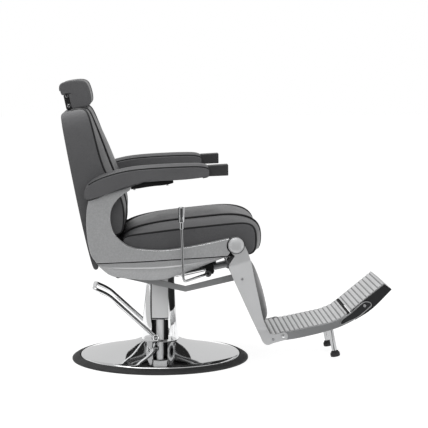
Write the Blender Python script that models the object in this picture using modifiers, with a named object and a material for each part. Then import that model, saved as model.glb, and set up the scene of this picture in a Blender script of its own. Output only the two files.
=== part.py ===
"""Barber chair: hydraulic column, reclining back, linked legrest and folding footrest.

Metres. +X is forwards, +Y is the sitter's left, +Z is up.
The origin is on the floor, on the column's axis.
Outlines are lists of (x, z) in millimetres, seen from the side.
"""

import math

import bmesh
import bpy
from mathutils import Matrix, Vector

MM = 0.001
CORNER = True

# Fits
GAP = 0.0004            # between fixed pieces that touch
RUN = 0.0003            # radial play of a turning or sliding fit

# Base and column
BASE_R = 0.300
RING_W = 0.0265         # rubber ring outside the dome
RING_EDGE = 0.006
RING_LIP = 0.016
DISC_T = 0.010
DOME_TOP = 0.066
DOME_RIM = 0.021        # height where the dome turns down
DOME_T = 0.003
COLUMN_FOOT_R = 0.0635
COLUMN_TOP_R = 0.0495
COLUMN_TOP = 0.288
COLUMN_T = 0.003
WINDOW_W = 0.056
WINDOW_LOW = 0.072
WINDOW_HIGH = 0.141
PUMP_R = 0.042
PUMP_TOP = COLUMN_TOP - 0.016
PISTON_R = 0.028
PISTON_LOW = 0.066

# Pump pedal
PEDAL_PIVOT = (-0.017, 0.082)
PEDAL_ROD_R = 0.007
PEDAL_EYE_R = 0.0135
PEDAL_EYE_W = 0.012
PEDAL_PIN_R = 0.006
PEDAL_CLEAR = 0.0015    # column foot to pedal eye
PEDAL_ROUTE = ((-169, 222), (-178, 229), (-190, 235), (-208, 243))
PEDAL_END = (-222, 249)

# Seat frame
HUB_R = 0.055
FLANGE_R = 0.105
FLANGE_T = 0.008
HUB_H = 0.022
HUB_LIFT = 0.0025       # column top to hub
RAIL_W = 0.040
RAIL_Y = 0.085
RAIL_REAR = -0.090
RAIL_FRONT = 0.185
PAN_LOW = 0.380
PAN_T = 0.006
PAN_REAR = -0.050
PAN_FRONT = 0.250
PLATE_T = 0.010
PANEL_T = 0.032
SEAT_HALF = 0.2500
SEAT_CLEAR = 0.0008     # cushion to side plate

# Joint centres, side view
RECLINE = (-0.165, 0.430)
LEGREST = (0.239, 0.420)
CRANK = (0.0245, -0.114)        # link pin below either joint centre
PIVOT_R = 0.010

# Seat and back cushions
SEAT_CROWN = 0.036
SEAT_BOW = 0.027
SEAM = 0.62             # share of a cushion's half width
SEAM_DEPTH = 0.011
BACK_HALF = SEAT_HALF - 0.0135
BACK_TILT = math.radians(12.1)
BACK_REAR = -0.141      # along the back's own forward axis
BACK_BELLY = 0.0085     # how far the rear face swells
SHELL_FRONT = -0.0985
TAIL_T = 0.016
BACK_TOP = 0.893
BACK_LOW = 0.4715
TAIL_LOW = 0.373

# Headrest
HEAD_PIVOT = (-0.113, BACK_TOP + 0.047)
BRACKET_HALF = 0.009
BRACKET_W = 0.234
HEAD_HALF = 0.130
HEAD_PLAY = 0.0005      # pad to bracket
STEM_W = 0.070
STEM_T = 0.010
STEM_LENGTH = 0.195
STEM_PLAY = 0.0006
HEAD_BOLT_R = 0.0055
HEAD_BOLT_H = 0.004
HEAD_BOLT_DROP = 0.033  # from the upper bolt to the lower one
HEAD_SWELL = 0.001

# Arms
ARM_HALF = 0.0355
ARM_CLEAR = 0.003       # back to arm pad
ARM_CROWN = 0.011
GRIP_W = 0.050
GRIP_LENGTH = 0.062
GRIP_LOW = 0.646
GRIP_TOP = 0.681
ARM_FRONT = 0.151
BRACKET_ARM_W = 0.040

# Linkage and lock
LINK_IN = 0.0758        # link inside the side plate
LINK_T = 0.008
LINK_HALF = 0.0092
LINK_EYE_R = 0.0125
LINK_BEND = (0.080, 0.263)
LINK_PIN_R = 0.007
CRANK_T = 0.008
CRANK_EYE_R = 0.0145
LOCK_IN = 0.0308        # lock rod inside the side plate
LOCK_PIN = (-0.013, -0.068)     # from the legrest's centre
LOCK_TILT = math.radians(11.67)
LOCK_ROD_R = 0.006
LOCK_SLEEVE_R = 0.0095
LOCK_BAR_R = 0.007
LOCK_SAG = 0.0059       # arc of the pin below the rod's line
LOCK_TAIL = -0.185
BLOCK_S = -0.070
BLOCK_HALF = 0.013
BLOCK_W = 0.026
BLOCK_UP = 0.014
BLOCK_DOWN = 0.019

# Recline lever
LEVER_PIN = (-0.009, -0.014)    # from the lock block's middle, along and above the rod
LEVER_OUT = 0.032       # lever outside the side panel
LEVER_R = 0.0044
LEVER_PIN_R = 0.004
LEVER_EYE_R = 0.011
LEVER_EYE_W = 0.010
LEVER_NECK = 0.478
LEVER_DROP = 0.0125      # from the lever's pin to its cross run
FERRULE_R = 0.007
FERRULE_H = 0.021
HANDLE_R = 0.0105
HANDLE_H = 0.050

# Legrest
LEG_T = 0.010
LEG_INSET = 0.0055      # inside the side panel's outer face
LEG_FOOT_Y = 0.161      # outer face at the foot
CREASE_TOP = 0.366
CREASE_LOW = 0.126
HUB_HEAD_R = 0.020
HUB_HEAD_H = 0.0075
FOOT_HINGE = (0.406, 0.099)
FOOT_PIN_R = 0.006
CALF_TILT = math.radians(16.4)
CALF_CLEAR = 0.0081     # link bar to calf board
CALF_BOARD_T = 0.006
CALF_LOW = 0.0475
CALF_HIGH = 0.2280
CALF_PAD_T = 0.0206
CALF_CROWN = 0.018
CALF_MARGIN = 0.006

# Footrest
RAIL_T = 0.008
FOOT_GAP = 0.0012       # rail to legrest panel
TREAD_T = 0.008
RIB_H = 0.0025
FOOT_RIBS = 17
TIP_RIBS = 9
TIP_HINGE = (0.678, 0.198)
TIP_PIN_R = 0.005
TIP_ARM_T = 0.005
TIP_ARM_GAP = 0.0005
LEG_ROD_R = 0.009
LEG_ROD_Y = 0.095
LEG_TOP = (0.5672, 0.1343)
LEG_FOOT = (0.5860, 0.0365)
FOOT_PAD_R = 0.0163
FOOT_PAD_H = 0.0195

# The dome's slope: share of the way out, share of the fall
DOME_LINE = ((0, 0), (0.14, 0.20), (0.34, 0.41), (0.66, 0.70), (0.86, 0.90))

# Side view outlines, millimetres
SIDE_PANEL = (
    (-233, 566, CORNER), (-238, 543), (-240.5, 500), (-239, 459), (-233.5, 419), (-222.5, 386),
    (-207.5, 366.5, CORNER), (-70, 371), (58, 378.5), (170, 385), (213, 388.5, CORNER),
    (219, 398, CORNER), (211, 408), (208.5, 420), (211, 432), (217.5, 442, CORNER),
    (138, 425), (74, 413), (10, 405.5), (-54, 407.5), (-97, 415), (-125, 431), (-151, 458),
    (-161, 484), (-164.5, 508.5), (-161, 537), (-144, 567), (-119.5, 589),
    (-100, 602), (-98, 608, CORNER), (-98, 616.5, CORNER), (-110, 614.5), (-153, 600), (-200, 577),
)
COVER_TOP = ((-207, 365.5), (-150, 367.5), (-70, 370), (0, 374), (58, 377.5), (120, 381),
             (170, 384), (213, 387.5))
COVER_LOW = ((-198, 349), (-160, 321.5), (-95, 311.5), (-35, 307), (20, 313), (80, 333),
             (150, 359), (213, 383))
COVER_OUT = 0.0020      # inside the side panel's outer face
COVER_TUCK = 0.016      # how far the lower edge turns in
COVER_BAND = 0.55       # share of the height above the crease
ARM_END = ARM_FRONT / MM
ARM_PAD = (
    (-243, 569, 0), (-247, 582, 0), (-245, 605, 0.3), (-230, 622, 0.7), (-192, 640, 1),
    (-142, 656, 1), (-90, 666, 1), (-20, 671, 1), (60, 674.5, 1), (ARM_END - 33, 676, 1),
    (ARM_END - 15, 673, 1), (ARM_END, 666, 0.7), (ARM_END, 652, 0), (ARM_END - 1, 646, 0),
    (ARM_END - 16, 641.5, 0), (60, 632, 0), (-40, 631, 0), (-98, 619.5, 0), (-153, 602, 0),
    (-212, 574.5, 0),
)
ARM_BRACKET = ((-97.6, 602, CORNER), (-86, 602), (-37, 609), (22, 616.5), (38, 622.5, CORNER),
               (38, 630.2, CORNER), (-10, 629.2), (-50, 626), (-97.6, 615, CORNER))
SIDE_PLATE = (
    (-189, 430), (-182, 447), (-165, 453), (-148, 447), (-141, 430), (-120, 402), (-60, 396),
    (100, 396), (190, 402), (218, 425), (225, 437), (239, 442), (254, 436), (261, 420),
    (254, 404), (239, 398), (210, 380), (100, 362), (-60, 352), (-150, 372), (-185, 405),
)
LEG_PANEL = (
    (239, 447), (258, 439), (266, 421), (274, 405), (285, 376), (303, 300), (320, 232),
    (336, 165), (348, 128), (357, 112), (369, 106.5), (395, 109.5), (408, 112.3), (416.5, 109.5),
    (421, 99), (418, 88.5), (406, 84.5), (375, 76.5), (351, 70), (337, 81), (331, 94),
    (319, 118), (269, 226), (219, 341), (217, 352), (220.5, 362), (235.5, 385, CORNER),
    (222, 399), (213, 415), (219, 438),
)
FOOT_RAIL = (
    (391, 99), (395, 88.5), (406, 84), (429, 85.5), (496, 98), (563, 115), (596, 126),
    (623, 138), (643.5, 148.5, CORNER), (620, 172, CORNER), (599, 156.5), (563, 142),
    (496, 128), (423, 113.5), (400, 111),
)
TIP_RAIL = (
    (648, 150, CORNER), (697, 181), (770, 252), (763, 263), (743, 273, CORNER), (671, 213),
    (629, 178.5, CORNER),
)
FOOT_TREAD = ((359, 99.5), (423, 113.5), (496, 128), (563, 142), (599, 156.5), (620, 172))
TIP_TREAD = ((629, 178.5), (671, 213), (742, 271))
TIP_NOSE = ((745, 270.5), (769, 252.5), (765, 248.5), (742, 261))
TIP_ARM = ((600, 133), (625, 144), (655, 158), (692, 188), (702, 199), (697, 209), (682, 212), (669, 206.5),
           (633, 175.5), (600, 149))

# Upholstery, side view: x, z above the pan, share of the crown, share of the front bow
SEAT_PROFILE = (
    (-52, 0, 0, 0), (-112, 30, 0, 0), (-128, 42, 0, 0), (-120, 54, 0.05, 0), (-100, 60, 0.3, 0),
    (-68, 63.5, 0.6, 0),
    (0, 70, 1, 0), (80, 79, 1, 0), (160, 87, 1, 0), (230, 94.5, 1, 0), (268, 97.5, 0.97, 0.1),
    (291, 94, 0.85, 0.5), (305, 78, 0.5, 0.85), (309, 48, 0, 1), (305, 20, 0, 0.9),
    (290, 3, 0, 0.55), (262, 0, 0, 0.1), (105, 0, 0, 0),
)
# Share of the back's height, then the front face at its sides and on its middle
BACK_FRONT = (
    (0.025, -26, -19), (0.12, -13, 4), (0.25, -6, 10), (0.353, -21, 3), (0.469, -43, -7),
    (0.59, -50, -15), (0.746, -51, -26), (0.898, -52, -36.5), (0.979, -56, -44),
)
# About the headrest's pivot, along the back's own axes
HEAD_NOTCH = (BRACKET_HALF + HEAD_PLAY) / MM
HEAD_PROFILE = (
    (HEAD_NOTCH, -44), (HEAD_NOTCH, -35), (HEAD_NOTCH, -5), (HEAD_NOTCH, HEAD_NOTCH), (4, HEAD_NOTCH),
    (-5, HEAD_NOTCH), (-HEAD_NOTCH - 0.5, HEAD_NOTCH), (-HEAD_NOTCH - 1, 4), (-13.5, 5.5), (-15.5, 16),
    (-15.5, 31), (-11.5, 40.5), (-4, 43.5), (10, 43.5), (32, 42.8), (54, 39.7), (66.5, 35.3), (74, 27),
    (76, 12), (77.5, -4), (77.3, -19), (75.5, -33), (71.5, -42), (62, -45), (24, -44.5),
)

# Stations across a cushion, as shares of its half width
SOFT_STEPS = (-1, -0.965, -0.86, -0.68, -SEAM, -0.56, -0.3, 0, 0.3, 0.56, SEAM, 0.68, 0.86, 0.965, 1)
PAD_STEPS = (-1, -0.75, 0, 0.75, 1)
HEAD_STEPS = (-1, -0.94, 0, 0.94, 1)

FINISHES = {
    "leather": ((0.105, 0.105, 0.108), 0.50, 0.0),
    "satin_aluminium": ((0.300, 0.303, 0.308), 0.42, 0.9),
    "bright_aluminium": ((0.560, 0.565, 0.570), 0.34, 0.9),
    "chrome": ((0.820, 0.825, 0.830), 0.06, 1.0),
    "steel": ((0.420, 0.425, 0.430), 0.32, 1.0),
    "graphite": ((0.120, 0.122, 0.126), 0.45, 0.6),
    "black_steel": ((0.020, 0.020, 0.021), 0.45, 0.4),
    "black_plastic": ((0.018, 0.018, 0.019), 0.50, 0.0),
    "rubber": ((0.030, 0.030, 0.031), 0.75, 0.0),
}

SIDES = ((-1, "right"), (1, "left"))
TURN_STEPS = 32
WIDE_STEPS = 36
PIN_STEPS = 24


def clear_scene():
    for item in list(bpy.data.objects):
        bpy.data.objects.remove(item, do_unlink=True)


def new_collection(name):
    group = bpy.data.collections.new(name)
    bpy.context.scene.collection.children.link(group)
    return group


def finish_material(name):
    found = bpy.data.materials.get(name)
    if found:
        return found
    colour, roughness, metallic = FINISHES[name]
    made = bpy.data.materials.new(name)
    made.use_nodes = True
    shader = made.node_tree.nodes["Principled BSDF"]
    shader.inputs["Base Color"].default_value = (*colour, 1.0)
    shader.inputs["Roughness"].default_value = roughness
    shader.inputs["Metallic"].default_value = metallic
    return made


clear_scene()
PARTS = new_collection("barber_chair")
GUIDES = new_collection("guides")


def joint_axis(name, side_view, y=0.0):
    """An empty on a joint's axis, which the moving pieces hang on."""
    empty = bpy.data.objects.new(name, None)
    empty.location = (side_view[0], y, side_view[1])
    empty.empty_display_size = 0.03
    GUIDES.objects.link(empty)
    return empty


def add_part(name, finish, mesh, axis=None, tilt=0.0):
    part = bpy.data.objects.new(name, mesh)
    PARTS.objects.link(part)
    mesh.materials.append(finish_material(finish))
    part.rotation_euler = (0.0, -tilt, 0.0)
    if axis:
        part.parent = axis
        part.matrix_parent_inverse = Matrix.Translation(-axis.location)
    return part


def as_guide(part):
    """Turn a piece into a cutter or a union tool."""
    PARTS.objects.unlink(part)
    GUIDES.objects.link(part)
    part.display_type = "WIRE"
    part.hide_render = True
    return part


def combine(part, tool, operation):
    step = part.modifiers.new(tool.name, "BOOLEAN")
    step.operation = operation
    step.solver = "EXACT"
    step.object = as_guide(tool)


def mesh_of(name, shape):
    mesh = bpy.data.meshes.new(name)
    shape.to_mesh(mesh)
    shape.free()
    return mesh


def welded(curve):
    """A curve's surface as one closed bmesh."""
    holder = bpy.data.objects.new("outline", curve)
    GUIDES.objects.link(holder)
    graph = bpy.context.evaluated_depsgraph_get()
    graph.update()
    mesh = bpy.data.meshes.new_from_object(holder.evaluated_get(graph))
    bpy.data.objects.remove(holder, do_unlink=True)
    shape = bmesh.new()
    shape.from_mesh(mesh)
    bpy.data.meshes.remove(mesh)
    bmesh.ops.remove_doubles(shape, verts=shape.verts, dist=1e-6)
    bmesh.ops.recalc_face_normals(shape, faces=shape.faces)
    return shape


def add_outline(curve, outline):
    """A closed side view outline; points marked as corners stay sharp."""
    line = curve.splines.new("BEZIER")
    line.bezier_points.add(len(outline) - 1)
    for point, spec in zip(line.bezier_points, outline):
        point.co = (spec[0] * MM, spec[1] * MM, 0.0)
    for point, spec in zip(line.bezier_points, outline):
        kind = "VECTOR" if len(spec) > 2 else "AUTO"
        point.handle_left_type = kind
        point.handle_right_type = kind
    line.use_cyclic_u = True


def plate_shape(outlines, y_from, y_to, steps=3):
    """A flat plate between two y values; the outlines after the first are holes."""
    curve = bpy.data.curves.new("plate", "CURVE")
    curve.dimensions = "2D"
    curve.fill_mode = "BOTH"
    curve.extrude = abs(y_to - y_from) / 2
    curve.resolution_u = steps
    for outline in outlines:
        add_outline(curve, outline)
    shape = welded(curve)
    upright = Matrix.Translation((0.0, (y_from + y_to) / 2, 0.0)) @ Matrix.Rotation(math.pi / 2, 4, "X")
    bmesh.ops.transform(shape, matrix=upright, verts=shape.verts)
    return shape


def plate(name, finish, outlines, y_from, y_to, axis=None, tilt=0.0, steps=3):
    shape = plate_shape(outlines, y_from, y_to, steps)
    return add_part(name, finish, mesh_of(name, shape), axis, tilt)


def ring_of(centre, radius, count=PIN_STEPS):
    """A round outline about a side view point in metres."""
    points = []
    for i in range(count):
        turn = 2 * math.pi * i / count
        x = centre[0] + radius * math.cos(turn)
        z = centre[1] + radius * math.sin(turn)
        points.append((x / MM, z / MM, CORNER))
    return points


def turned(name, finish, profile, closed=False, steps=TURN_STEPS, axis=None):
    """A piece turned about Z; its profile runs down the outside."""
    count = len(profile)
    edges = [(i, i + 1) for i in range(count - 1)]
    if closed:
        edges.append((count - 1, 0))
    mesh = bpy.data.meshes.new(name)
    mesh.from_pydata([(r, 0.0, z) for r, z in profile], edges, [])
    part = add_part(name, finish, mesh, axis)
    screw = part.modifiers.new("turn", "SCREW")
    screw.steps = steps
    screw.render_steps = steps
    screw.use_merge_vertices = True
    screw.merge_threshold = 1e-5
    return part


def bar(name, finish, start, end, radius, steps=PIN_STEPS, axis=None):
    """A round bar between two points."""
    start = Vector(start)
    run = Vector(end) - start
    shape = bmesh.new()
    bmesh.ops.create_cone(shape, cap_ends=True, segments=steps, radius1=radius, radius2=radius,
                          depth=run.length)
    place = Matrix.Translation(start + run / 2) @ run.to_track_quat("Z", "Y").to_matrix().to_4x4()
    bmesh.ops.transform(shape, matrix=place, verts=shape.verts)
    return add_part(name, finish, mesh_of(name, shape), axis)


def block(name, finish, low, high, axis=None, tilt=0.0, bevel=0.0):
    """A box between two corners, with rounded edges where a bevel is given."""
    low = Vector(low)
    high = Vector(high)
    shape = bmesh.new()
    bmesh.ops.create_cube(shape, size=1.0)
    size = Matrix.Diagonal((*(high - low), 1.0))
    bmesh.ops.transform(shape, matrix=Matrix.Translation((low + high) / 2) @ size, verts=shape.verts)
    part = add_part(name, finish, mesh_of(name, shape), axis, tilt)
    if bevel:
        step = part.modifiers.new("edges", "BEVEL")
        step.width = bevel
        step.segments = 2
    return part


def rod(name, finish, points, radius, sides=12, axis=None):
    """A bent round rod through points."""
    curve = bpy.data.curves.new(name, "CURVE")
    curve.dimensions = "3D"
    curve.bevel_depth = radius
    curve.bevel_resolution = (sides - 4) // 2
    curve.use_fill_caps = True
    line = curve.splines.new("POLY")
    line.points.add(len(points) - 1)
    for spot, place in zip(line.points, points):
        spot.co = (*place, 1.0)
    return add_part(name, finish, mesh_of(name, welded(curve)), axis)


def loft(name, finish, sections, axis=None, tilt=0.0, rounds=1):
    """A closed skin through rings of points, rounded by subdivision."""
    shape = bmesh.new()
    rings = [[shape.verts.new(point) for point in section] for section in sections]
    count = len(rings[0])
    for near, far in zip(rings, rings[1:]):
        for i in range(count):
            j = (i + 1) % count
            shape.faces.new((near[i], near[j], far[j], far[i]))
    shape.faces.new(rings[0])
    shape.faces.new(rings[-1])
    bmesh.ops.recalc_face_normals(shape, faces=shape.faces)
    for face in shape.faces:
        face.smooth = rounds > 0
    part = add_part(name, finish, mesh_of(name, shape), axis, tilt)
    if rounds:
        step = part.modifiers.new("soft", "SUBSURF")
        step.levels = rounds
        step.render_levels = rounds
    return part


def along(points, share):
    """The point and direction at a share of a polyline's length."""
    spots = [Vector(point) for point in points]
    lengths = [(b - a).length for a, b in zip(spots, spots[1:])]
    left = share * sum(lengths)
    for a, b, length in zip(spots, spots[1:], lengths):
        if left <= length or b is spots[-1]:
            return a + (b - a) * (left / length), (b - a).normalized()
        left -= length


def tread(points, ribs, nose=()):
    """Outline of a ribbed plate whose rib tops follow a line, with a lip at its far end."""
    thick = TREAD_T / MM
    rib = RIB_H / MM
    top = []
    for i in range(ribs):
        for share, drop in ((0.04, rib), (0.14, 0), (0.80, 0), (0.90, rib)):
            spot, way = along(points, (i + share) / ribs)
            top.append(spot + Vector((way.y, -way.x)) * drop)
    under = []
    for i in range(2 * len(points) - 1):
        spot, way = along(points, i / (2 * len(points) - 2))
        under.append(spot + Vector((way.y, -way.x)) * thick)
    if nose:
        under[-1:] = [Vector(spot) for spot in reversed(nose)]
    return [(spot.x, spot.y, CORNER) for spot in top + under[::-1]]


def groove(share):
    """How far a sewn channel draws the cover in."""
    return SEAM_DEPTH if abs(share) == SEAM else 0.0


def dome(share):
    return 1.0 - share * share


# Base

def build_base():
    ring_in = BASE_R - RING_W
    disc_r = ring_in - 0.008
    turned("base_plate", "black_steel", ((0, DISC_T), (disc_r, DISC_T), (disc_r, 0), (0, 0)),
           steps=WIDE_STEPS)
    seat_r = disc_r + GAP
    rim_r = ring_in - GAP
    turned("base_ring", "rubber", (
        (ring_in, RING_LIP), (ring_in + 0.006, RING_LIP + 0.001), (BASE_R - 0.010, RING_LIP - 0.0035),
        (BASE_R - 0.002, RING_EDGE + 0.002), (BASE_R, RING_EDGE), (BASE_R, 0.002),
        (BASE_R - 0.002, 0), (seat_r, 0), (seat_r, DISC_T * 0.6), (ring_in, DISC_T * 0.6),
    ), closed=True, steps=WIDE_STEPS)
    hole_r = PUMP_R + GAP
    top_r = COLUMN_FOOT_R + 0.008
    fall = DOME_TOP - DOME_RIM
    outer = [(top_r + (rim_r - top_r) * out, DOME_TOP - fall * down) for out, down in DOME_LINE]
    outer += [(rim_r - 0.010, DOME_RIM), (rim_r, DISC_T * 0.6 + GAP)]
    inner = [(r - DOME_T, z - DOME_T * 0.9) for r, z in outer[:-1]]
    low = (rim_r - DOME_T, DISC_T * 0.6 + GAP)
    turned("base_dome", "chrome", (
        (hole_r, DOME_TOP), *outer, low, *inner[:0:-1],
        (COLUMN_FOOT_R, DOME_TOP - DOME_T), (hole_r, DOME_TOP - DOME_T),
    ), closed=True, steps=WIDE_STEPS)

    foot = DOME_TOP + GAP
    sleeve = turned("column_sleeve", "chrome", (
        (COLUMN_TOP_R, COLUMN_TOP), (COLUMN_FOOT_R, foot),
        (COLUMN_FOOT_R - COLUMN_T, foot), (COLUMN_TOP_R - COLUMN_T, COLUMN_TOP),
    ), closed=True)
    window = block("window", "chrome", (-WINDOW_W / 2 - 0.002, -0.1, WINDOW_LOW),
                   (WINDOW_W / 2 - 0.002, 0.1, WINDOW_HIGH))
    combine(sleeve, window, "DIFFERENCE")

    bore_r = PISTON_R + RUN
    cylinder = turned("pump_cylinder", "steel", (
        (bore_r, PUMP_TOP), (PUMP_R - 0.003, PUMP_TOP), (PUMP_R, PUMP_TOP - 0.003), (PUMP_R, DISC_T + GAP),
        (0, DISC_T + GAP), (0, PISTON_LOW - 0.002), (bore_r, PISTON_LOW - 0.002),
    ), closed=True)
    collar = turned("pump_collar", "steel", (
        (PUMP_R - 0.004, PUMP_TOP - 0.004), (column_inner(PUMP_TOP) - GAP, PUMP_TOP - 0.004),
        (column_inner(PUMP_TOP) - GAP, PUMP_TOP - 0.012), (PUMP_R - 0.004, PUMP_TOP - 0.012),
    ), closed=True)
    combine(cylinder, collar, "UNION")
    x, z = PEDAL_PIVOT
    for side, tag in SIDES:
        pin = bar(f"trunnion_{tag}", "steel", (x, side * (bore_r + 0.0032), z),
                  (x, side * (pedal_y() + 0.009), z), PEDAL_PIN_R)
        combine(cylinder, pin, "UNION")


def column_inner(z):
    """Inside radius of the tapered sleeve at a height."""
    share = (COLUMN_TOP - z) / (COLUMN_TOP - DOME_TOP - GAP)
    return COLUMN_TOP_R - COLUMN_T + share * (COLUMN_FOOT_R - COLUMN_TOP_R)


def pedal_y():
    return COLUMN_FOOT_R + PEDAL_CLEAR + PEDAL_EYE_W / 2


def build_pedal():
    axis = joint_axis("pump_pedal_axis", PEDAL_PIVOT)
    x, z = PEDAL_PIVOT
    y = pedal_y()
    first = Vector(PEDAL_ROUTE[0]) * MM
    start = Vector(PEDAL_PIVOT) + (first - Vector(PEDAL_PIVOT)).normalized() * (PEDAL_PIN_R + 0.003)
    right = [(start.x, -y, start.y)]
    right += [(px * MM, -y, pz * MM) for px, pz in PEDAL_ROUTE]
    ex, ez = PEDAL_END[0] * MM, PEDAL_END[1] * MM
    right += [(ex + 0.005, -y + 0.004, ez - 0.002), (ex, -y + 0.014, ez)]
    route = right + [(px, -py, pz) for px, py, pz in reversed(right)]
    pedal = rod("pump_pedal", "chrome", route, PEDAL_ROD_R, axis=axis)
    for side, tag in SIDES:
        half = PEDAL_EYE_W / 2
        eye = bar(f"pedal_eye_{tag}", "chrome", (x, side * y - half, z), (x, side * y + half, z), PEDAL_EYE_R)
        combine(pedal, eye, "UNION")
    bore = bar("pedal_bore", "chrome", (x, -0.2, z), (x, 0.2, z), PEDAL_PIN_R + RUN)
    combine(pedal, bore, "DIFFERENCE")


# Lift and swivel

def hub_low():
    return COLUMN_TOP + HUB_LIFT


def flange_top():
    return hub_low() + HUB_H + FLANGE_T


def build_lift():
    spigot = hub_low() + HUB_H + FLANGE_T / 2
    turned("piston_rod", "chrome", (
        (0, spigot), (PISTON_R - 0.002, spigot), (PISTON_R, spigot - 0.002),
        (PISTON_R, PISTON_LOW), (0, PISTON_LOW),
    ), axis=joint_axis("lift_axis", (0.0, PISTON_LOW)))


def build_seat_frame():
    low = hub_low()
    bore_r = PISTON_R + RUN
    top = flange_top()
    swivel = joint_axis("swivel_axis", (0.0, low))
    turned("swivel_hub", "black_steel", (
        (0, top), (FLANGE_R, top), (FLANGE_R, top - FLANGE_T), (HUB_R, top - FLANGE_T),
        (HUB_R, low + 0.003), (HUB_R - 0.003, low), (bore_r, low),
        (bore_r, top - FLANGE_T / 2 + RUN), (0, top - FLANGE_T / 2 + RUN),
    ), axis=swivel)
    for side, tag in SIDES:
        y = side * RAIL_Y
        block(f"frame_rail_{tag}", "black_steel", (RAIL_REAR, y - RAIL_W / 2, top + GAP),
              (RAIL_FRONT, y + RAIL_W / 2, PAN_LOW - GAP), axis=swivel, bevel=0.003)
    inner = plate_inner() - GAP
    block("seat_pan", "black_steel", (PAN_REAR, -inner, PAN_LOW), (PAN_FRONT, inner, PAN_LOW + PAN_T),
          axis=swivel)
    for side, tag in SIDES:
        build_side(side, tag, swivel)
    build_seat_cushion(swivel)
    build_lock_block(swivel)


def plate_inner():
    return SEAT_HALF + SEAT_CLEAR


def panel_inner():
    return plate_inner() + PLATE_T + GAP


def panel_outer():
    return panel_inner() + PANEL_T


def leg_outer():
    return panel_outer() - LEG_INSET


def link_y():
    return plate_inner() - LINK_IN


def lock_y():
    return LOCK_IN - plate_inner()


def lever_y():
    return -panel_outer() - LEVER_OUT


def arm_inner():
    return BACK_HALF + ARM_CLEAR


def build_side(side, tag, axis):
    plate_in = side * plate_inner()
    plate_out = side * (plate_inner() + PLATE_T)
    frame = plate(f"side_plate_{tag}", "black_steel",
                  (SIDE_PLATE, ring_of(RECLINE, PIVOT_R + RUN)), plate_in, plate_out, axis)
    x, z = LEGREST
    stub = bar(f"legrest_stub_{tag}", "steel", (x, plate_in + side * 0.001, z),
               (x, side * (leg_outer() + 0.002), z), PIVOT_R)
    combine(frame, stub, "UNION")
    face = leg_outer() + GAP
    head = bar(f"legrest_head_{tag}", "steel", (x, side * face, z), (x, side * (face + HUB_HEAD_H), z),
               HUB_HEAD_R)
    combine(frame, head, "UNION")

    plate(f"side_panel_{tag}", "satin_aluminium", (SIDE_PANEL,), side * panel_inner(), side * panel_outer(),
          axis)
    build_cover(side, tag, axis)
    build_arm(side, tag, axis)


def build_cover(side, tag, axis):
    """The cover below a side panel, with its lower edge turned in."""
    outer = side * (panel_outer() - COVER_OUT)
    inner = side * panel_inner()
    tuck = outer - side * COVER_TUCK
    sections = []
    for (tx, tz), (lx, lz) in zip(COVER_TOP, COVER_LOW):
        crease_x = lx + (tx - lx) * COVER_BAND
        crease_z = lz + (tz - lz) * (1.0 - COVER_BAND)
        ring = ((tx, inner, tz), (tx, outer, tz), (crease_x, outer, crease_z), (lx, tuck, lz),
                (lx, inner, lz))
        sections.append([(px * MM, py, pz * MM) for px, py, pz in ring])
    loft(f"under_cover_{tag}", "satin_aluminium", sections, axis, rounds=0)


def build_arm(side, tag, axis):
    middle = side * (arm_inner() + ARM_HALF)
    sections = []
    for share in PAD_STEPS:
        crown = ARM_CROWN * dome(share)
        inset = 0.003 * share * share
        y = middle + share * ARM_HALF
        sections.append([(px * MM, y, pz * MM + crown * up - inset * up) for px, pz, up in ARM_PAD])
    loft(f"arm_pad_{tag}", "leather", sections, axis)

    block(f"hand_grip_{tag}", "black_plastic", (ARM_FRONT + GAP, middle - GRIP_W / 2, GRIP_LOW),
          (ARM_FRONT + GRIP_LENGTH, middle + GRIP_W / 2, GRIP_TOP), axis, bevel=0.004)
    plate(f"arm_bracket_{tag}", "black_plastic", (ARM_BRACKET,), middle - BRACKET_ARM_W / 2,
          middle + BRACKET_ARM_W / 2, axis)


def build_seat_cushion(axis):
    base = PAN_LOW + PAN_T + GAP
    sections = []
    for share in SOFT_STEPS:
        crown = SEAT_CROWN * dome(share) - groove(share)
        bow = SEAT_BOW * dome(share) - groove(share)
        sections.append([
            (x * MM + bow * out, share * SEAT_HALF, base + z * MM + crown * up)
            for x, z, up, out in SEAT_PROFILE
        ])
    loft("seat_cushion", "leather", sections, axis)


# Back and headrest

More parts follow.
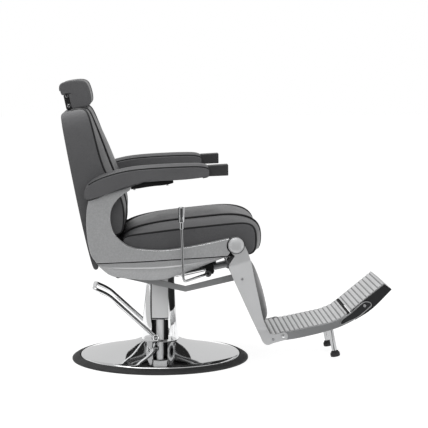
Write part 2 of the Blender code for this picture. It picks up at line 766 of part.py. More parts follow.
def build_back():
    axis = joint_axis("recline_axis", RECLINE)
    tail_front = BACK_REAR + TAIL_T
    shell = (
        ((BACK_REAR - 0.6 * BACK_BELLY) / MM, TAIL_LOW / MM, CORNER), (tail_front / MM, TAIL_LOW / MM, CORNER),
        (tail_front / MM, BACK_LOW / MM - 9.5, CORNER), (SHELL_FRONT / MM, BACK_LOW / MM, CORNER),
        (SHELL_FRONT / MM, BACK_TOP / MM, CORNER), (BACK_REAR / MM + 15, BACK_TOP / MM),
        (BACK_REAR / MM + 5, BACK_TOP / MM - 3.5), (BACK_REAR / MM + 1.5, BACK_TOP / MM - 8),
        (BACK_REAR / MM, BACK_TOP / MM - 17, CORNER),
        ((BACK_REAR - 0.45 * BACK_BELLY) / MM, BACK_TOP / MM - 95, CORNER),
        ((BACK_REAR - BACK_BELLY) / MM, BACK_LOW / MM + 115, CORNER),
        ((BACK_REAR - BACK_BELLY) / MM, BACK_LOW / MM, CORNER),
    )
    case = plate("back_shell", "leather", (shell,), -BACK_HALF, BACK_HALF, axis, BACK_TILT)
    n = HEAD_PIVOT[0]
    deep = BACK_TOP - STEM_LENGTH - 0.004
    slot = block("stem_slot", "leather", (n - STEM_T / 2 - STEM_PLAY, -STEM_W / 2 - STEM_PLAY, deep),
                 (n + STEM_T / 2 + STEM_PLAY, STEM_W / 2 + STEM_PLAY, BACK_TOP + 0.05), tilt=BACK_TILT)
    combine(case, slot, "DIFFERENCE")

    rear = SHELL_FRONT + GAP
    sections = []
    for share in SOFT_STEPS:
        sink = groove(share)
        front = [(BACK_LOW + (BACK_TOP - BACK_LOW) * up, (side + (mid - side) * dome(share)) * MM - sink)
                 for up, side, mid in BACK_FRONT]
        ring = [(rear, BACK_TOP - 0.143), (rear, BACK_LOW + 0.1285), (rear, BACK_LOW),
                (front[0][1] - 0.030, BACK_LOW), (front[0][1] - 0.008, BACK_LOW + 0.002)]
        ring += [(n, u) for u, n in front]
        ring += [(front[-1][1] - 0.018, BACK_TOP), (rear, BACK_TOP)]
        sections.append([(n, share * BACK_HALF, u) for n, u in ring])
    loft("back_cushion", "leather", sections, axis, BACK_TILT)

    for side, tag in SIDES:
        build_crank(side, tag, axis, tail_front)


def to_back(point):
    """A side view point in the back's own axes."""
    c, s = math.cos(BACK_TILT), math.sin(BACK_TILT)
    return point[0] * c + point[1] * s, point[1] * c - point[0] * s


def link_rear():
    return RECLINE[0] + CRANK[0], RECLINE[1] + CRANK[1]


def link_front():
    return LEGREST[0] + CRANK[0], LEGREST[1] + CRANK[1]


def build_crank(side, tag, axis, tail_front):
    """The plate that carries the back on its pivot and pulls the link."""
    inner = link_y() + LINK_T / 2 + 2 * RUN + GAP
    outer = inner + CRANK_T
    a = to_back(RECLINE)
    b = to_back(link_rear())
    foot = tail_front + GAP
    eye = CRANK_EYE_R
    outline = [(foot, TAIL_LOW + 0.012, CORNER), (b[0] - eye, b[1] + 0.010),
               (b[0] - 0.7 * eye, b[1] - 0.7 * eye), (b[0], b[1] - eye),
               (b[0] + 0.7 * eye, b[1] - 0.7 * eye), (b[0] + eye, b[1]),
               (a[0] + eye, a[1]), (a[0] + 0.7 * eye, a[1] + 0.7 * eye), (a[0], a[1] + eye),
               (foot + 0.012, a[1] + eye * 0.5), (foot, a[1], CORNER)]
    outline = [(spec[0] / MM, spec[1] / MM, *spec[2:]) for spec in outline]
    crank = plate(f"back_crank_{tag}", "black_steel", (outline,), side * inner, side * outer, axis, BACK_TILT)
    x, z = RECLINE
    journal = bar(f"back_journal_{tag}", "steel", (x, side * (inner + 0.001), z),
                  (x, side * (plate_inner() + PLATE_T - 0.001), z), PIVOT_R)
    combine(crank, journal, "UNION")
    x, z = link_rear()
    pin = bar(f"link_pin_{tag}", "steel", (x, side * (link_y() - LINK_T / 2 - 0.003), z),
              (x, side * (inner + 0.001), z), LINK_PIN_R)
    combine(crank, pin, "UNION")


def from_back(point):
    c, s = math.cos(BACK_TILT), math.sin(BACK_TILT)
    return point[0] * c - point[1] * s, point[0] * s + point[1] * c


def build_headrest():
    n, u = HEAD_PIVOT
    slide = joint_axis("headrest_height_axis", from_back((n, BACK_TOP)))
    top = BACK_TOP + 0.0045
    block("headrest_stem", "chrome", (n - STEM_T / 2, -STEM_W / 2, BACK_TOP - STEM_LENGTH),
          (n + STEM_T / 2, STEM_W / 2, top), slide, BACK_TILT)
    half = BRACKET_HALF
    cap = [(n + half * math.cos(turn), u + half * math.sin(turn))
           for turn in (math.pi * i / 10 for i in range(11))]
    outline = [(n - half, top + GAP), (n + half, top + GAP), *cap]
    outline = [(px / MM, pz / MM, CORNER) for px, pz in outline]
    wide = BRACKET_W / 2
    bracket = plate("headrest_bracket", "black_steel", (outline,), -wide, wide, slide, BACK_TILT)
    tilt_axis = joint_axis("headrest_tilt_axis", from_back(HEAD_PIVOT))
    lower = from_back((n, u - HEAD_BOLT_DROP))
    upper = from_back(HEAD_PIVOT)
    for side, tag in SIDES:
        for (x, z), level in ((upper, "upper"), (lower, "lower")):
            head = bar(f"headrest_{level}_bolt_{tag}", "chrome", (x, side * (wide - 0.002), z),
                       (x, side * (wide + HEAD_BOLT_H), z), HEAD_BOLT_R, axis=slide)
            combine(bracket, head, "UNION")

    sections = []
    for share in HEAD_STEPS:
        swell = HEAD_SWELL * dome(share)
        ring = []
        for px, pz in HEAD_PROFILE:
            out = swell if px > 30 else 0.0
            lift = swell if pz > 30 else 0.0
            ring.append((n + px * MM + out, share * HEAD_HALF, u + pz * MM + lift))
        sections.append(ring)
    loft("headrest_pad", "leather", sections, tilt_axis, BACK_TILT)


# Linkage, lock and lever

def build_link():
    axis = joint_axis("link_axis", link_rear())
    b = Vector(link_rear())
    c = Vector(link_front())
    m = Vector(LINK_BEND)
    rise = Vector((-(m - b).y, (m - b).x)).normalized() * LINK_HALF
    fall = Vector((-(c - m).y, (c - m).x)).normalized() * LINK_HALF
    knee = (rise + fall).normalized() * LINK_HALF
    rear = [b + Vector((math.cos(t), math.sin(t))) * LINK_EYE_R for t in end_turns(b - m)]
    front = [c + Vector((math.cos(t), math.sin(t))) * LINK_EYE_R for t in end_turns(c - m)]
    outline = [*rear, m - knee, *front, m + knee]
    outline = [(spot.x / MM, spot.y / MM, CORNER) for spot in outline]
    holes = (ring_of(b, LINK_PIN_R + RUN), ring_of(c, LINK_PIN_R + RUN))
    for side, tag in SIDES:
        plate(f"link_{tag}", "bright_aluminium", (outline, *holes), side * (link_y() - LINK_T / 2),
              side * (link_y() + LINK_T / 2), axis)


def end_turns(way):
    """Angles round a bar's rounded end that points along a direction."""
    centre = math.atan2(way.y, way.x)
    return [centre + math.radians(step) for step in range(-120, 121, 20)]


def lock_end():
    return LEGREST[0] + LOCK_PIN[0], LEGREST[1] + LOCK_PIN[1]


def lock_point(s, v=0.0):
    """A side view point along and above the lock rod's line."""
    c, n = math.cos(LOCK_TILT), math.sin(LOCK_TILT)
    x, z = lock_end()
    return x + s * c - v * n, z + s * n + v * c


def lever_pivot():
    return lock_point(BLOCK_S + LEVER_PIN[0], LEVER_PIN[1])


def build_lock():
    axis = joint_axis("lock_rod_axis", lock_end(), lock_y())
    eye_half = LOCK_BAR_R + 0.0055
    clear = LOCK_BAR_R + 0.0008
    half = LOCK_ROD_R
    outer = [(-eye_half - 0.004, eye_half * 0.8), (-0.003, eye_half), (eye_half * 0.8, eye_half * 0.7),
             (eye_half, -LOCK_SAG), (eye_half * 0.7, -LOCK_SAG - eye_half * 0.75), (0, -LOCK_SAG - eye_half),
             (-eye_half * 0.75, -LOCK_SAG - eye_half * 0.7), (-eye_half - 0.004, -eye_half * 0.8)]
    hole = []
    for i in range(PIN_STEPS):
        turn = 2 * math.pi * i / PIN_STEPS
        drop = LOCK_SAG if math.sin(turn) < 0 else 0.0
        hole.append((clear * math.cos(turn), clear * math.sin(turn) - drop))
    outer = [(px / MM, pz / MM) for px, pz in (lock_point(s, v) for s, v in outer)]
    hole = [(px / MM, pz / MM, CORNER) for px, pz in (lock_point(s, v) for s, v in hole)]
    eye = plate("lock_rod", "graphite", (outer, hole), lock_y() - half, lock_y() + half, axis)
    sleeve_from = BLOCK_S + BLOCK_HALF + 0.0015
    reach = -eye_half - 0.001
    for name, start, end, radius in (("lock_sleeve", sleeve_from, reach, LOCK_SLEEVE_R),
                                     ("lock_tail", LOCK_TAIL, sleeve_from + 0.004, LOCK_ROD_R)):
        x0, z0 = lock_point(start)
        x1, z1 = lock_point(end)
        piece = bar(name, "graphite", (x0, lock_y(), z0), (x1, lock_y(), z1), radius)
        combine(eye, piece, "UNION")


def build_lock_block(axis):
    outline = [lock_point(BLOCK_S + s, v) for s, v in (
        (-BLOCK_HALF, -BLOCK_DOWN * 0.8), (-BLOCK_HALF * 0.8, -BLOCK_DOWN), (BLOCK_HALF * 0.6, -BLOCK_DOWN),
        (BLOCK_HALF, -BLOCK_DOWN * 0.6), (BLOCK_HALF, BLOCK_UP), (-BLOCK_HALF, BLOCK_UP))]
    outline = [(px / MM, pz / MM, CORNER) for px, pz in outline]
    y_near = lock_y() - BLOCK_W / 2
    housing = plate("lock_block", "black_plastic", (outline,), y_near, lock_y() + BLOCK_W / 2, axis)
    x, z = lock_point(BLOCK_S, BLOCK_UP - 0.003)
    hanger = block("lock_hanger", "black_plastic", (x - 0.007, lock_y() - 0.006, z),
                   (x + 0.007, lock_y() + 0.006, PAN_LOW - GAP))
    combine(housing, hanger, "UNION")
    x, z = lever_pivot()
    pin = bar("lever_pin", "steel", (x, y_near + 0.003, z),
              (x, y_near - LEVER_EYE_W - 0.003, z), LEVER_PIN_R)
    combine(housing, pin, "UNION")
    x0, z0 = lock_point(BLOCK_S - 0.04)
    x1, z1 = lock_point(BLOCK_S + 0.04)
    bore = bar("lock_bore", "steel", (x0, lock_y(), z0), (x1, lock_y(), z1), LOCK_ROD_R + RUN)
    combine(housing, bore, "DIFFERENCE")


def build_lever():
    x, z = lever_pivot()
    y = lever_y()
    axis = joint_axis("recline_lever_axis", (x, z), y)
    eye_near = lock_y() - BLOCK_W / 2 - LEVER_EYE_W - GAP
    eye_mid = eye_near + LEVER_EYE_W / 2
    foot_z = z - LEVER_DROP
    top_x = 0.0625
    route = [(top_x, y, LEVER_NECK + FERRULE_H / 2), (0.0675, y, foot_z + 0.016),
             (0.0690, y, foot_z + 0.007), (0.0725, y + 0.003, foot_z + 0.001), (0.0790, y + 0.010, foot_z)]
    foot = Vector(route[-1])
    eye = Vector((x, eye_mid, z))
    end = eye + (foot - eye).normalized() * (LEVER_PIN_R + 0.0055)
    route.append(tuple(end))
    lever = rod("recline_lever", "chrome", route, LEVER_R, axis=axis)
    ring = bar("lever_eye", "chrome", (x, eye_near, z), (x, eye_near + LEVER_EYE_W, z), LEVER_EYE_R)
    combine(lever, ring, "UNION")
    bore = bar("lever_bore", "chrome", (x, eye_near - 0.05, z), (x, eye_near + 0.05, z), LEVER_PIN_R + RUN)
    combine(lever, bore, "DIFFERENCE")

    low = LEVER_NECK
    neck = low + FERRULE_H
    bore_r = LEVER_R + RUN
    handle = turned("recline_handle", "chrome", (
        (0, neck + HANDLE_H), (HANDLE_R - 0.003, neck + HANDLE_H), (HANDLE_R, neck + HANDLE_H - 0.003),
        (HANDLE_R, neck + 0.002), (HANDLE_R - 0.002, neck), (FERRULE_R, neck), (FERRULE_R, low),
        (bore_r, low), (bore_r, low + FERRULE_H / 2 + RUN), (0, low + FERRULE_H / 2 + RUN),
    ), steps=PIN_STEPS, axis=axis)
    handle.location = (top_x, y, 0.0)


# Legrest and footrest

def leg_slope():
    return (leg_outer() - LEG_FOOT_Y) / (CREASE_TOP - CREASE_LOW)


def leg_inner(z):
    """Inner face of the slanting legrest panel at a height."""
    drop = min(max(CREASE_TOP - z, 0.0), CREASE_TOP - CREASE_LOW)
    return leg_outer() - LEG_T - leg_slope() * drop


def slant_panel(shape, side):
    """Fold a flat panel in between its two creases."""
    for level in (CREASE_TOP, CREASE_LOW):
        geometry = shape.verts[:] + shape.edges[:] + shape.faces[:]
        bmesh.ops.bisect_plane(shape, geom=geometry, plane_co=(0, 0, level), plane_no=(0, 0, 1))
    for vert in shape.verts:
        drop = min(max(CREASE_TOP - vert.co.z, 0.0), CREASE_TOP - CREASE_LOW)
        vert.co.y -= side * leg_slope() * drop


def cross_bar(name, centre, radius, axis):
    """A bar between the legrest panels, its ends cut to their slant."""
    x, z = centre
    reach = leg_inner(z) - GAP
    made = bar(name, "steel", (x, -reach, z), (x, reach, z), radius, axis=axis)
    for vert in made.data.vertices:
        side = 1 if vert.co.y > 0 else -1
        vert.co.y = side * (leg_inner(vert.co.z) - GAP)


def build_legrest():
    axis = joint_axis("legrest_axis", LEGREST)
    outer = leg_outer()
    for side, tag in SIDES:
        holes = (ring_of(LEGREST, PIVOT_R + RUN), ring_of(FOOT_HINGE, FOOT_PIN_R + RUN))
        shape = plate_shape((LEG_PANEL, *holes), side * (outer - LEG_T), side * outer)
        slant_panel(shape, side)
        add_part(f"legrest_panel_{tag}", "bright_aluminium", mesh_of("panel", shape), axis)
    cross_bar("lock_bar", lock_end(), LOCK_BAR_R, axis)
    cross_bar("link_bar", link_front(), LINK_PIN_R, axis)
    build_calf(axis)


def calf_z(n, u):
    return n * math.sin(CALF_TILT) + u * math.cos(CALF_TILT)


def build_calf(axis):
    x, z = link_front()
    back = x * math.cos(CALF_TILT) + z * math.sin(CALF_TILT) + LINK_PIN_R + CALF_CLEAR
    front = back + CALF_BOARD_T
    low = leg_inner(calf_z(back, CALF_LOW)) - GAP
    high = leg_inner(calf_z(back, CALF_HIGH)) - GAP
    sections = []
    for n in (back, front):
        sections.append([(n, -low, CALF_LOW), (n, low, CALF_LOW),
                         (n, high, CALF_HIGH), (n, -high, CALF_HIGH)])
    loft("calf_board", "black_steel", sections, axis, CALF_TILT, rounds=0)

    rear = front + GAP
    sections = []
    for level in (0, 0.04, 0.25, 0.5, 0.75, 0.96, 1):
        u = CALF_LOW + level * (CALF_HIGH - CALF_LOW)
        half = leg_inner(calf_z(rear, u)) - CALF_MARGIN
        swell = 0.55 + 0.45 * dome(2 * level - 1)
        ring = []
        for share in PAD_STEPS:
            face = rear + CALF_PAD_T + CALF_CROWN * dome(share) * swell
            ring.append((face - 0.006 * abs(share) ** 8, share * half, u))
        ring += [(rear, share * half, u) for share in (1, 0.4, -0.4, -1)]
        sections.append(ring)
    loft("calf_pad", "leather", sections, axis, CALF_TILT)


def rail_outer():
    return LEG_FOOT_Y - LEG_T - FOOT_GAP


def build_footrest():
    axis = joint_axis("footrest_axis", FOOT_HINGE)
    rail_in = rail_outer() - RAIL_T
    tread_half = rail_in - GAP
    plate("foot_plate", "bright_aluminium", (tread(FOOT_TREAD, FOOT_RIBS),), -tread_half, tread_half, axis)
    for side, tag in SIDES:
        rail = plate(f"foot_rail_{tag}", "graphite", (FOOT_RAIL,), side * rail_in, side * rail_outer(), axis)
        x, z = FOOT_HINGE
        pin = bar(f"foot_pin_{tag}", "steel", (x, side * (rail_outer() - 0.002), z),
                  (x, side * (LEG_FOOT_Y + 0.003), z), FOOT_PIN_R)
        combine(rail, pin, "UNION")

        arm_in = rail_outer() + TIP_ARM_GAP
        arm = plate(f"tip_arm_{tag}", "chrome", (TIP_ARM,), side * arm_in, side * (arm_in + TIP_ARM_T), axis)
        x, z = TIP_HINGE
        pin = bar(f"tip_pin_{tag}", "steel", (x, side * (rail_in + 0.001), z),
                  (x, side * (arm_in + 0.002), z), TIP_PIN_R)
        combine(arm, pin, "UNION")

        y = side * LEG_ROD_Y
        top = Vector((LEG_TOP[0], y, LEG_TOP[1]))
        low = Vector((LEG_FOOT[0], y, LEG_FOOT[1]))
        bar(f"foot_leg_{tag}", "chrome", top, low, LEG_ROD_R, axis=axis)
        way = (low - top).normalized()
        seat = low + way * GAP
        bar(f"foot_pad_{tag}", "rubber", seat, seat + way * FOOT_PAD_H, FOOT_PAD_R, axis=axis)


def build_tip():
    axis = joint_axis("tip_axis", TIP_HINGE)
    rail_in = rail_outer() - RAIL_T
    tread_half = rail_in - GAP
    outline = tread(TIP_TREAD, TIP_RIBS, TIP_NOSE)
    plate("tip_plate", "bright_aluminium", (outline,), -tread_half, tread_half, axis)
    for side, tag in SIDES:
        plate(f"tip_rail_{tag}", "graphite", (TIP_RAIL, ring_of(TIP_HINGE, TIP_PIN_R + RUN)), side * rail_in,
              side * rail_outer(), axis)


build_base()
build_pedal()
build_lift()
build_seat_frame()
build_back()
build_headrest()
build_link()
build_lock()
build_lever()
build_legrest()
build_footrest()
build_tip()
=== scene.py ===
"""The barber chair's finished look, built round its packed frame.

Metres. +X is forwards, +Y is the sitter's left, +Z is up.
Outlines are lists of (x, z) in millimetres, seen from the side; CORNER marks a sharp point.
"""

import math

import bmesh
import bpy
from mathutils import Matrix, Vector


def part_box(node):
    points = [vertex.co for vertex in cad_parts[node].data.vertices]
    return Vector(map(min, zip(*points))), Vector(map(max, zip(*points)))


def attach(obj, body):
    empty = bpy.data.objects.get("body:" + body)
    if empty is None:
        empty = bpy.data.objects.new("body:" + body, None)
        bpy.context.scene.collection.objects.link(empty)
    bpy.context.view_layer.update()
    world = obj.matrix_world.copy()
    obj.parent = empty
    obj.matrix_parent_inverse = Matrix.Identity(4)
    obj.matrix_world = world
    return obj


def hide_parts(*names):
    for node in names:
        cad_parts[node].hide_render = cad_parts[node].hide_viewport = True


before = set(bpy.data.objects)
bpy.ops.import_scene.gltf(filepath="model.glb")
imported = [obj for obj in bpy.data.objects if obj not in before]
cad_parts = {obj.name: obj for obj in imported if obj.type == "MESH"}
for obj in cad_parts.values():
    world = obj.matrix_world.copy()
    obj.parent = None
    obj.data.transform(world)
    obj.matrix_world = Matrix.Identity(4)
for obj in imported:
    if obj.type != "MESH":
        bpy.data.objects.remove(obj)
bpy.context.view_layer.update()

bl_info = {
    "name": "Barber chair",
    "version": (1, 0, 0),
    "blender": (4, 5, 0),
    "location": "View3D > Sidebar > Chair",
    "description": "Dresses the frame of a barber chair with upholstery, metal and a stage",
    "category": "Object",
}

MM = 0.001
CORNER = True
FULL_TURN = 2 * math.pi
SIDES = ((-1, "right"), (1, "left"))

# Sizes and places that match the frame
SEAT_HALF = 0.250
BACK_HALF = 0.2365
HEAD_HALF = 0.130
ARM_MIDDLE = 0.275
ARM_HALF = 0.0355
PANEL_IN = 0.2612
PANEL_OUT = 0.2932
LEG_OUT = 0.2877
LEG_T = 0.010
LEG_FOOT_Y = 0.161
RAIL_IN = 0.1418
RAIL_OUT = 0.1498
LINK_Y = 0.175
LINK_T = 0.008
LOCK_Y = -0.220
LEVER_Y = -0.3252
PEDAL_Y = 0.071
PEDAL_PIVOT = (-0.017, 0.082)
LEGREST = (0.239, 0.420)
LINK_REAR = (-0.1405, 0.316)
LINK_FRONT = (0.2635, 0.306)
LINK_BEND = (0.080, 0.263)
FOOT_HINGE = (0.406, 0.099)
TIP_HINGE = (0.678, 0.198)
HEAD_PIVOT = (-0.113, 0.940)
HEAD_BOLT_DROP = 0.033
BACK_TOP = 0.893
BACK_LOW = 0.4715
BACK_REAR = -0.141
BACK_BELLY = 0.0085
BACK_TILT = math.radians(12.1)
CALF_TILT = math.radians(16.4)
LOCK_TILT = math.radians(11.67)
LOCK_END = (0.226, 0.352)
CREASE_TOP = 0.366
CREASE_LOW = 0.126
CREASE_SLANT = 0.317
CREASE_AT = (0.240, 0.3574)
LINK_PIN_R = 0.007
CALF_CLEAR = 0.0081
CALF_BOARD_T = 0.006
CALF_LOW = 0.0475
CALF_HIGH = 0.2280
CALF_PAD_T = 0.0206
CALF_CROWN = 0.018
CALF_MARGIN = 0.006

# Fits, and the way out from the right hand side
CLEARANCE = 0.0004
FOLD_REACH = 0.0075
OUTWARD = (0, -1, 0)

# Range of a noise texture that is put to use
NOISE_LOW = 0.3
NOISE_HIGH = 0.7

# Upholstery, metres and shares
SEAT_CROWN = 0.0355
SEAT_BOW = 0.0265
SHOULDER = 0.065
BACK_SPLIT = -0.105
HELD_EDGE = 0.955
SEWN_REACH = 0.006
EDGE_WELT_IN = 0.0050
EDGE_WELT_OUT = 0.0012
CHANNEL_WELT_OUT = 0.0038
CAP_SHARES = (0.94, 0.72, 0.42)
FILL_FRAMES = 20

# Treads, millimetres; the width of the grooves is a share of a rib, and their steps are counted
GROOVE_DEPTH = 2.7
GROOVE_WIDTH = 0.17
GROOVE_STEPS = 14
TREAD_T = 8.0

# Side view outlines, millimetres
SIDE_PANEL = (
    (-233, 566, CORNER), (-238, 543), (-240.5, 500), (-239, 459), (-233.5, 419), (-222.5, 386),
    (-207.5, 366.5, CORNER), (-70, 371), (58, 378.5), (170, 385), (213, 388.5, CORNER),
    (219, 398, CORNER), (211, 408), (208.5, 420), (211, 432), (217.5, 442, CORNER),
    (138, 425), (74, 413), (10, 405.5), (-54, 407.5), (-97, 415), (-125, 431), (-151, 458),
    (-161, 484), (-164.5, 508.5), (-161, 537), (-144, 567), (-119.5, 589),
    (-100, 602), (-98, 608, CORNER), (-98, 616.5, CORNER), (-110, 614.5), (-153, 600), (-200, 577),
)
COVER_TOP = ((-207, 365.5), (-150, 367.5), (-70, 370), (0, 374), (58, 377.5), (120, 381),
             (170, 384), (213, 387.5))
COVER_LOW = ((-198, 349), (-160, 321.5), (-95, 311.5), (-35, 307), (20, 313), (80, 333),
             (150, 359), (213, 383))
ARM_BRACKET = ((-97.6, 603, CORNER), (-86, 604), (-37, 611.5), (22, 618.5), (38, 623, CORNER),
               (38, 630.2, CORNER), (-10, 629.2), (-50, 626), (-97.6, 615, CORNER))
LEG_PANEL = (
    (239, 447), (258, 439), (266, 421), (274, 405), (285, 376), (303, 300), (320, 232),
    (336, 165), (348, 128), (356, 111), (368, 104.5), (395, 107.5), (408, 110.5), (416.5, 108.5),
    (421, 99), (418, 88.5), (406, 84.5), (375, 76.5), (351, 70), (337, 81), (331, 94),
    (319, 118), (269, 226), (219, 341), (217, 352), (220.5, 362), (235.5, 385, CORNER),
    (222, 399), (213, 415), (219, 438),
)
FOOT_RAIL = (
    (391, 99), (395, 88.5), (406, 84), (429, 85.5), (496, 98), (563, 115), (596, 126),
    (623, 138), (643.5, 148.5, CORNER), (621.5, 170, CORNER), (600.5, 154), (564, 139.5),
    (496.5, 125.5), (423.5, 111), (400, 110),
)
TIP_RAIL = (
    (648, 150, CORNER), (697, 181), (769, 251, CORNER), (746, 268.5, CORNER), (672.5, 211),
    (630.5, 176.5, CORNER),
)
FOOT_TREAD = ((359, 99.5), (423, 113.5), (496, 128), (563, 142), (599, 156.5), (620, 172))
TIP_TREAD = ((629, 178.5), (671, 213), (742, 271))
TIP_NOSE = ((745, 270.5), (769, 252.5), (765, 248.5), (742, 261))
TIP_ARM = ((600, 133), (625, 144), (655, 158), (692, 188), (702, 199), (697, 209), (682, 212),
           (669, 206.5), (633, 175.5), (600, 149))
TIP_WEB = ((622.2, 170.8, CORNER), (628.8, 175.4, CORNER), (646.2, 149.3, CORNER), (644.2, 148.4, CORNER))
PEDAL_ROUTE = ((-169, 222), (-190, 235), (-222, 249))
# A black wedge in the gap between the under cover's front end and the legrest panel, as painted shadow
SHADOW_WEDGE = ((210, 372.5, CORNER), (231.5, 386, CORNER), (233, 382), (220, 369), (213, 367.5))
GRIP = ((149.5, 644, CORNER), (149.5, 678, CORNER), (213, 681.5, CORNER), (213.5, 646.5, CORNER))
DOME = ((71.5, 66), (100, 57), (140, 47.5), (204, 34.5), (245, 25.4), (263, 21), (269.5, 17.5), (273, 11))

# Seat, side view: x, z above the pan, share of the crown, share of the front bow
SEAT_PROFILE = (
    (-52, 0, 0, 0), (-112, 30, 0, 0), (-128, 42, 0, 0), (-122, 54, 0.08, 0), (-104, 60.5, 0.35, 0),
    (-66, 64, 0.8, 0), (0, 72.5, 1, 0), (80, 81.5, 1, 0), (160, 89.5, 1, 0), (222, 95.5, 1, 0),
    (262, 99, 0.72, 0.1), (285, 97, 0.42, 0.45), (298, 87, 0.15, 0.85), (302.5, 68, 0.05, 1),
    (303, 45, 0, 1), (302.5, 29, 0, 1), (299, 11, 0, 0.95), (289, 2, 0, 0.75), (264, 0, 0, 0.2),
    (105, 0, 0, 0),
)
# Arm pad, side view: x, z, share of the crown
ARM_PAD = (
    (-243, 569, 0), (-247, 582, 0), (-245, 605, 0.3), (-230, 622, 0.7), (-192, 640, 1),
    (-142, 656, 1), (-90, 666, 1), (-20, 671, 1), (60, 674.5, 1), (118, 676, 1),
    (138, 673, 1), (149, 669.5, 0.9), (151.5, 667.5, 0.7), (152, 663, 0.4), (152, 650, 0),
    (151.5, 645.5, 0), (148, 644, 0), (132, 641, 0), (60, 632, 0), (-40, 631, 0),
    (-98, 619.5, 0), (-153, 602, 0), (-212, 574.5, 0),
)
# Share of the back's height, then the front face at its sides and on its middle
BACK_FRONT = (
    (0.025, -26, -19), (0.12, -13, 4), (0.25, -6, 10), (0.353, -21, 3), (0.469, -43, -7),
    (0.59, -50, -15), (0.746, -51, -26), (0.898, -52, -39.5), (0.979, -55, -47),
)
# About the headrest's pivot, along the back's own axes
HEAD_PROFILE = (
    (9.5, -44), (9.5, -35), (9.5, -5), (9.5, 9.5), (4, 9.5), (-5, 9.5), (-10, 9.5), (-10.5, 4),
    (-13.5, 5.5), (-15.5, 16), (-15.5, 31), (-11.5, 40.5), (-4, 43.5), (10, 43.5), (32, 42.8),
    (54, 39.7), (66.5, 35.3), (74, 27), (76, 12), (77.5, -4), (77.3, -19), (75.5, -33), (71.5, -42),
    (62, -45), (24, -44.5),
)


def colour_property(label, words, default):
    return bpy.props.FloatVectorProperty(
        name=label, description=words, default=default, subtype="COLOR", size=3, min=0.0, max=1.0)


def length_property(label, words, default):
    return bpy.props.FloatProperty(
        name=label, description=words, default=default, subtype="DISTANCE", unit="LENGTH", min=0.0)


class ChairSizes(bpy.types.PropertyGroup):
    """Sizes of the finish that the frame doesn't set"""

    welt: length_property("Welt", "Radius of the piping along the seams", 0.0036)
    channel: length_property("Channel", "Depth of a sewn channel", 0.0050)
    swell: length_property("Swell", "How far the filling may push a cover out", 0.0050)
    panel_edge: length_property("Panel edge", "Chamfer of the cast side panels", 0.0042)
    alloy_edge: length_property("Alloy edge", "Rounded edge of the legrest panels", 0.0018)
    thin_edge: length_property("Thin edge", "Rounded edge of rails, links and brackets", 0.0010)
    seam: bpy.props.FloatProperty(
        name="Seam", description="Place of a sewn channel, as a share of a cushion's half width",
        default=0.62, subtype="FACTOR", min=0.0, max=1.0)
    turn_steps: bpy.props.IntProperty(
        name="Turn steps", description="Faces round a turned piece", default=144, min=24)


class ChairColours(bpy.types.PropertyGroup):
    """Colours of the finishes"""

    leather: colour_property("Leather", "Grey cover of the cushions", (0.104, 0.104, 0.107))
    welt: colour_property("Welt", "Black piping", (0.012, 0.012, 0.013))
    panel: colour_property("Side panel", "Blasted aluminium", (0.400, 0.403, 0.408))
    alloy: colour_property("Alloy", "Legrest panels", (0.470, 0.474, 0.480))
    tread: colour_property("Tread", "Ribbed plates", (0.760, 0.764, 0.770))
    plate: colour_property("Column plate", "Satin plate on the column", (0.860, 0.864, 0.870))
    chrome: colour_property("Chrome", "Plated steel", (0.830, 0.834, 0.840))
    # Painted shade: chrome made darker so the lever and the footrest legs show darker reflections
    shaded_chrome: colour_property("Dark chrome", "Plated lever and legs", (0.500, 0.504, 0.510))
    # Painted shade: black darker than the black paint, with little gleam, for the pieces under the arms, the
    # seat and the footrest
    shade: colour_property("Shade", "Black mouldings under the arms", (0.010, 0.010, 0.010))
    steel: colour_property("Steel", "Plain steel", (0.430, 0.434, 0.440))
    leg: colour_property("Leg panel", "Satin aluminium", (0.560, 0.564, 0.570))
    # Painted shade: a darker copy of the tread's finish, put on the bottoms of its grooves
    groove_shade: colour_property("Groove", "Bottoms of the grooves in the treads", (0.290, 0.292, 0.295))
    graphite: colour_property("Graphite", "Rails of the footrest", (0.285, 0.288, 0.294))
    dark_coat: colour_property("Dark coat", "Rails of the tip", (0.047, 0.048, 0.050))
    paint: colour_property("Black paint", "Painted frame", (0.018, 0.018, 0.019))
    plastic: colour_property("Black plastic", "Moulded pieces", (0.017, 0.017, 0.018))
    grip: colour_property("Grip", "Blocks at the front of the arms", (0.033, 0.033, 0.034))
    rubber: colour_property("Rubber", "Base ring and feet", (0.022, 0.022, 0.023))


def sizes():
    return bpy.context.scene.chair_sizes


def colours():
    return bpy.context.scene.chair_colours


# Shader groups

def add_node(tree, kind, inputs, **settings):
    """A shader node with its settings made, and then its inputs set or linked."""
    node = tree.nodes.new("ShaderNode" + kind)
    for label, value in settings.items():
        setattr(node, label, value)
    for key, value in inputs.items():
        if isinstance(value, bpy.types.NodeSocket):
            tree.links.new(value, node.inputs[key])
        else:
            node.inputs[key].default_value = value
    return node


def new_group(name, inputs, *outputs):
    """A node group that takes a vector and more, with the sockets at its start and its end."""
    tree = bpy.data.node_groups.new(name, "ShaderNodeTree")
    for label, kind, value in (("Vector", "Vector", None), *inputs):
        socket = tree.interface.new_socket(label, in_out="INPUT", socket_type="NodeSocket" + kind)
        if value is not None:
            socket.default_value = value
    for label, kind in outputs:
        tree.interface.new_socket(label, in_out="OUTPUT", socket_type="NodeSocket" + kind)
    return tree, tree.nodes.new("NodeGroupInput").outputs, tree.nodes.new("NodeGroupOutput").inputs


def math_node(tree, operation, first, second):
    return add_node(tree, "Math", {0: first, 1: second}, operation=operation).outputs[0]


def scaled(tree, value, by):
    return math_node(tree, "MULTIPLY", value, by)


def noise_node(tree, vector, size, detail):
    return add_node(tree, "TexNoise", {"Vector": vector, "Scale": size, "Detail": detail}).outputs["Fac"]


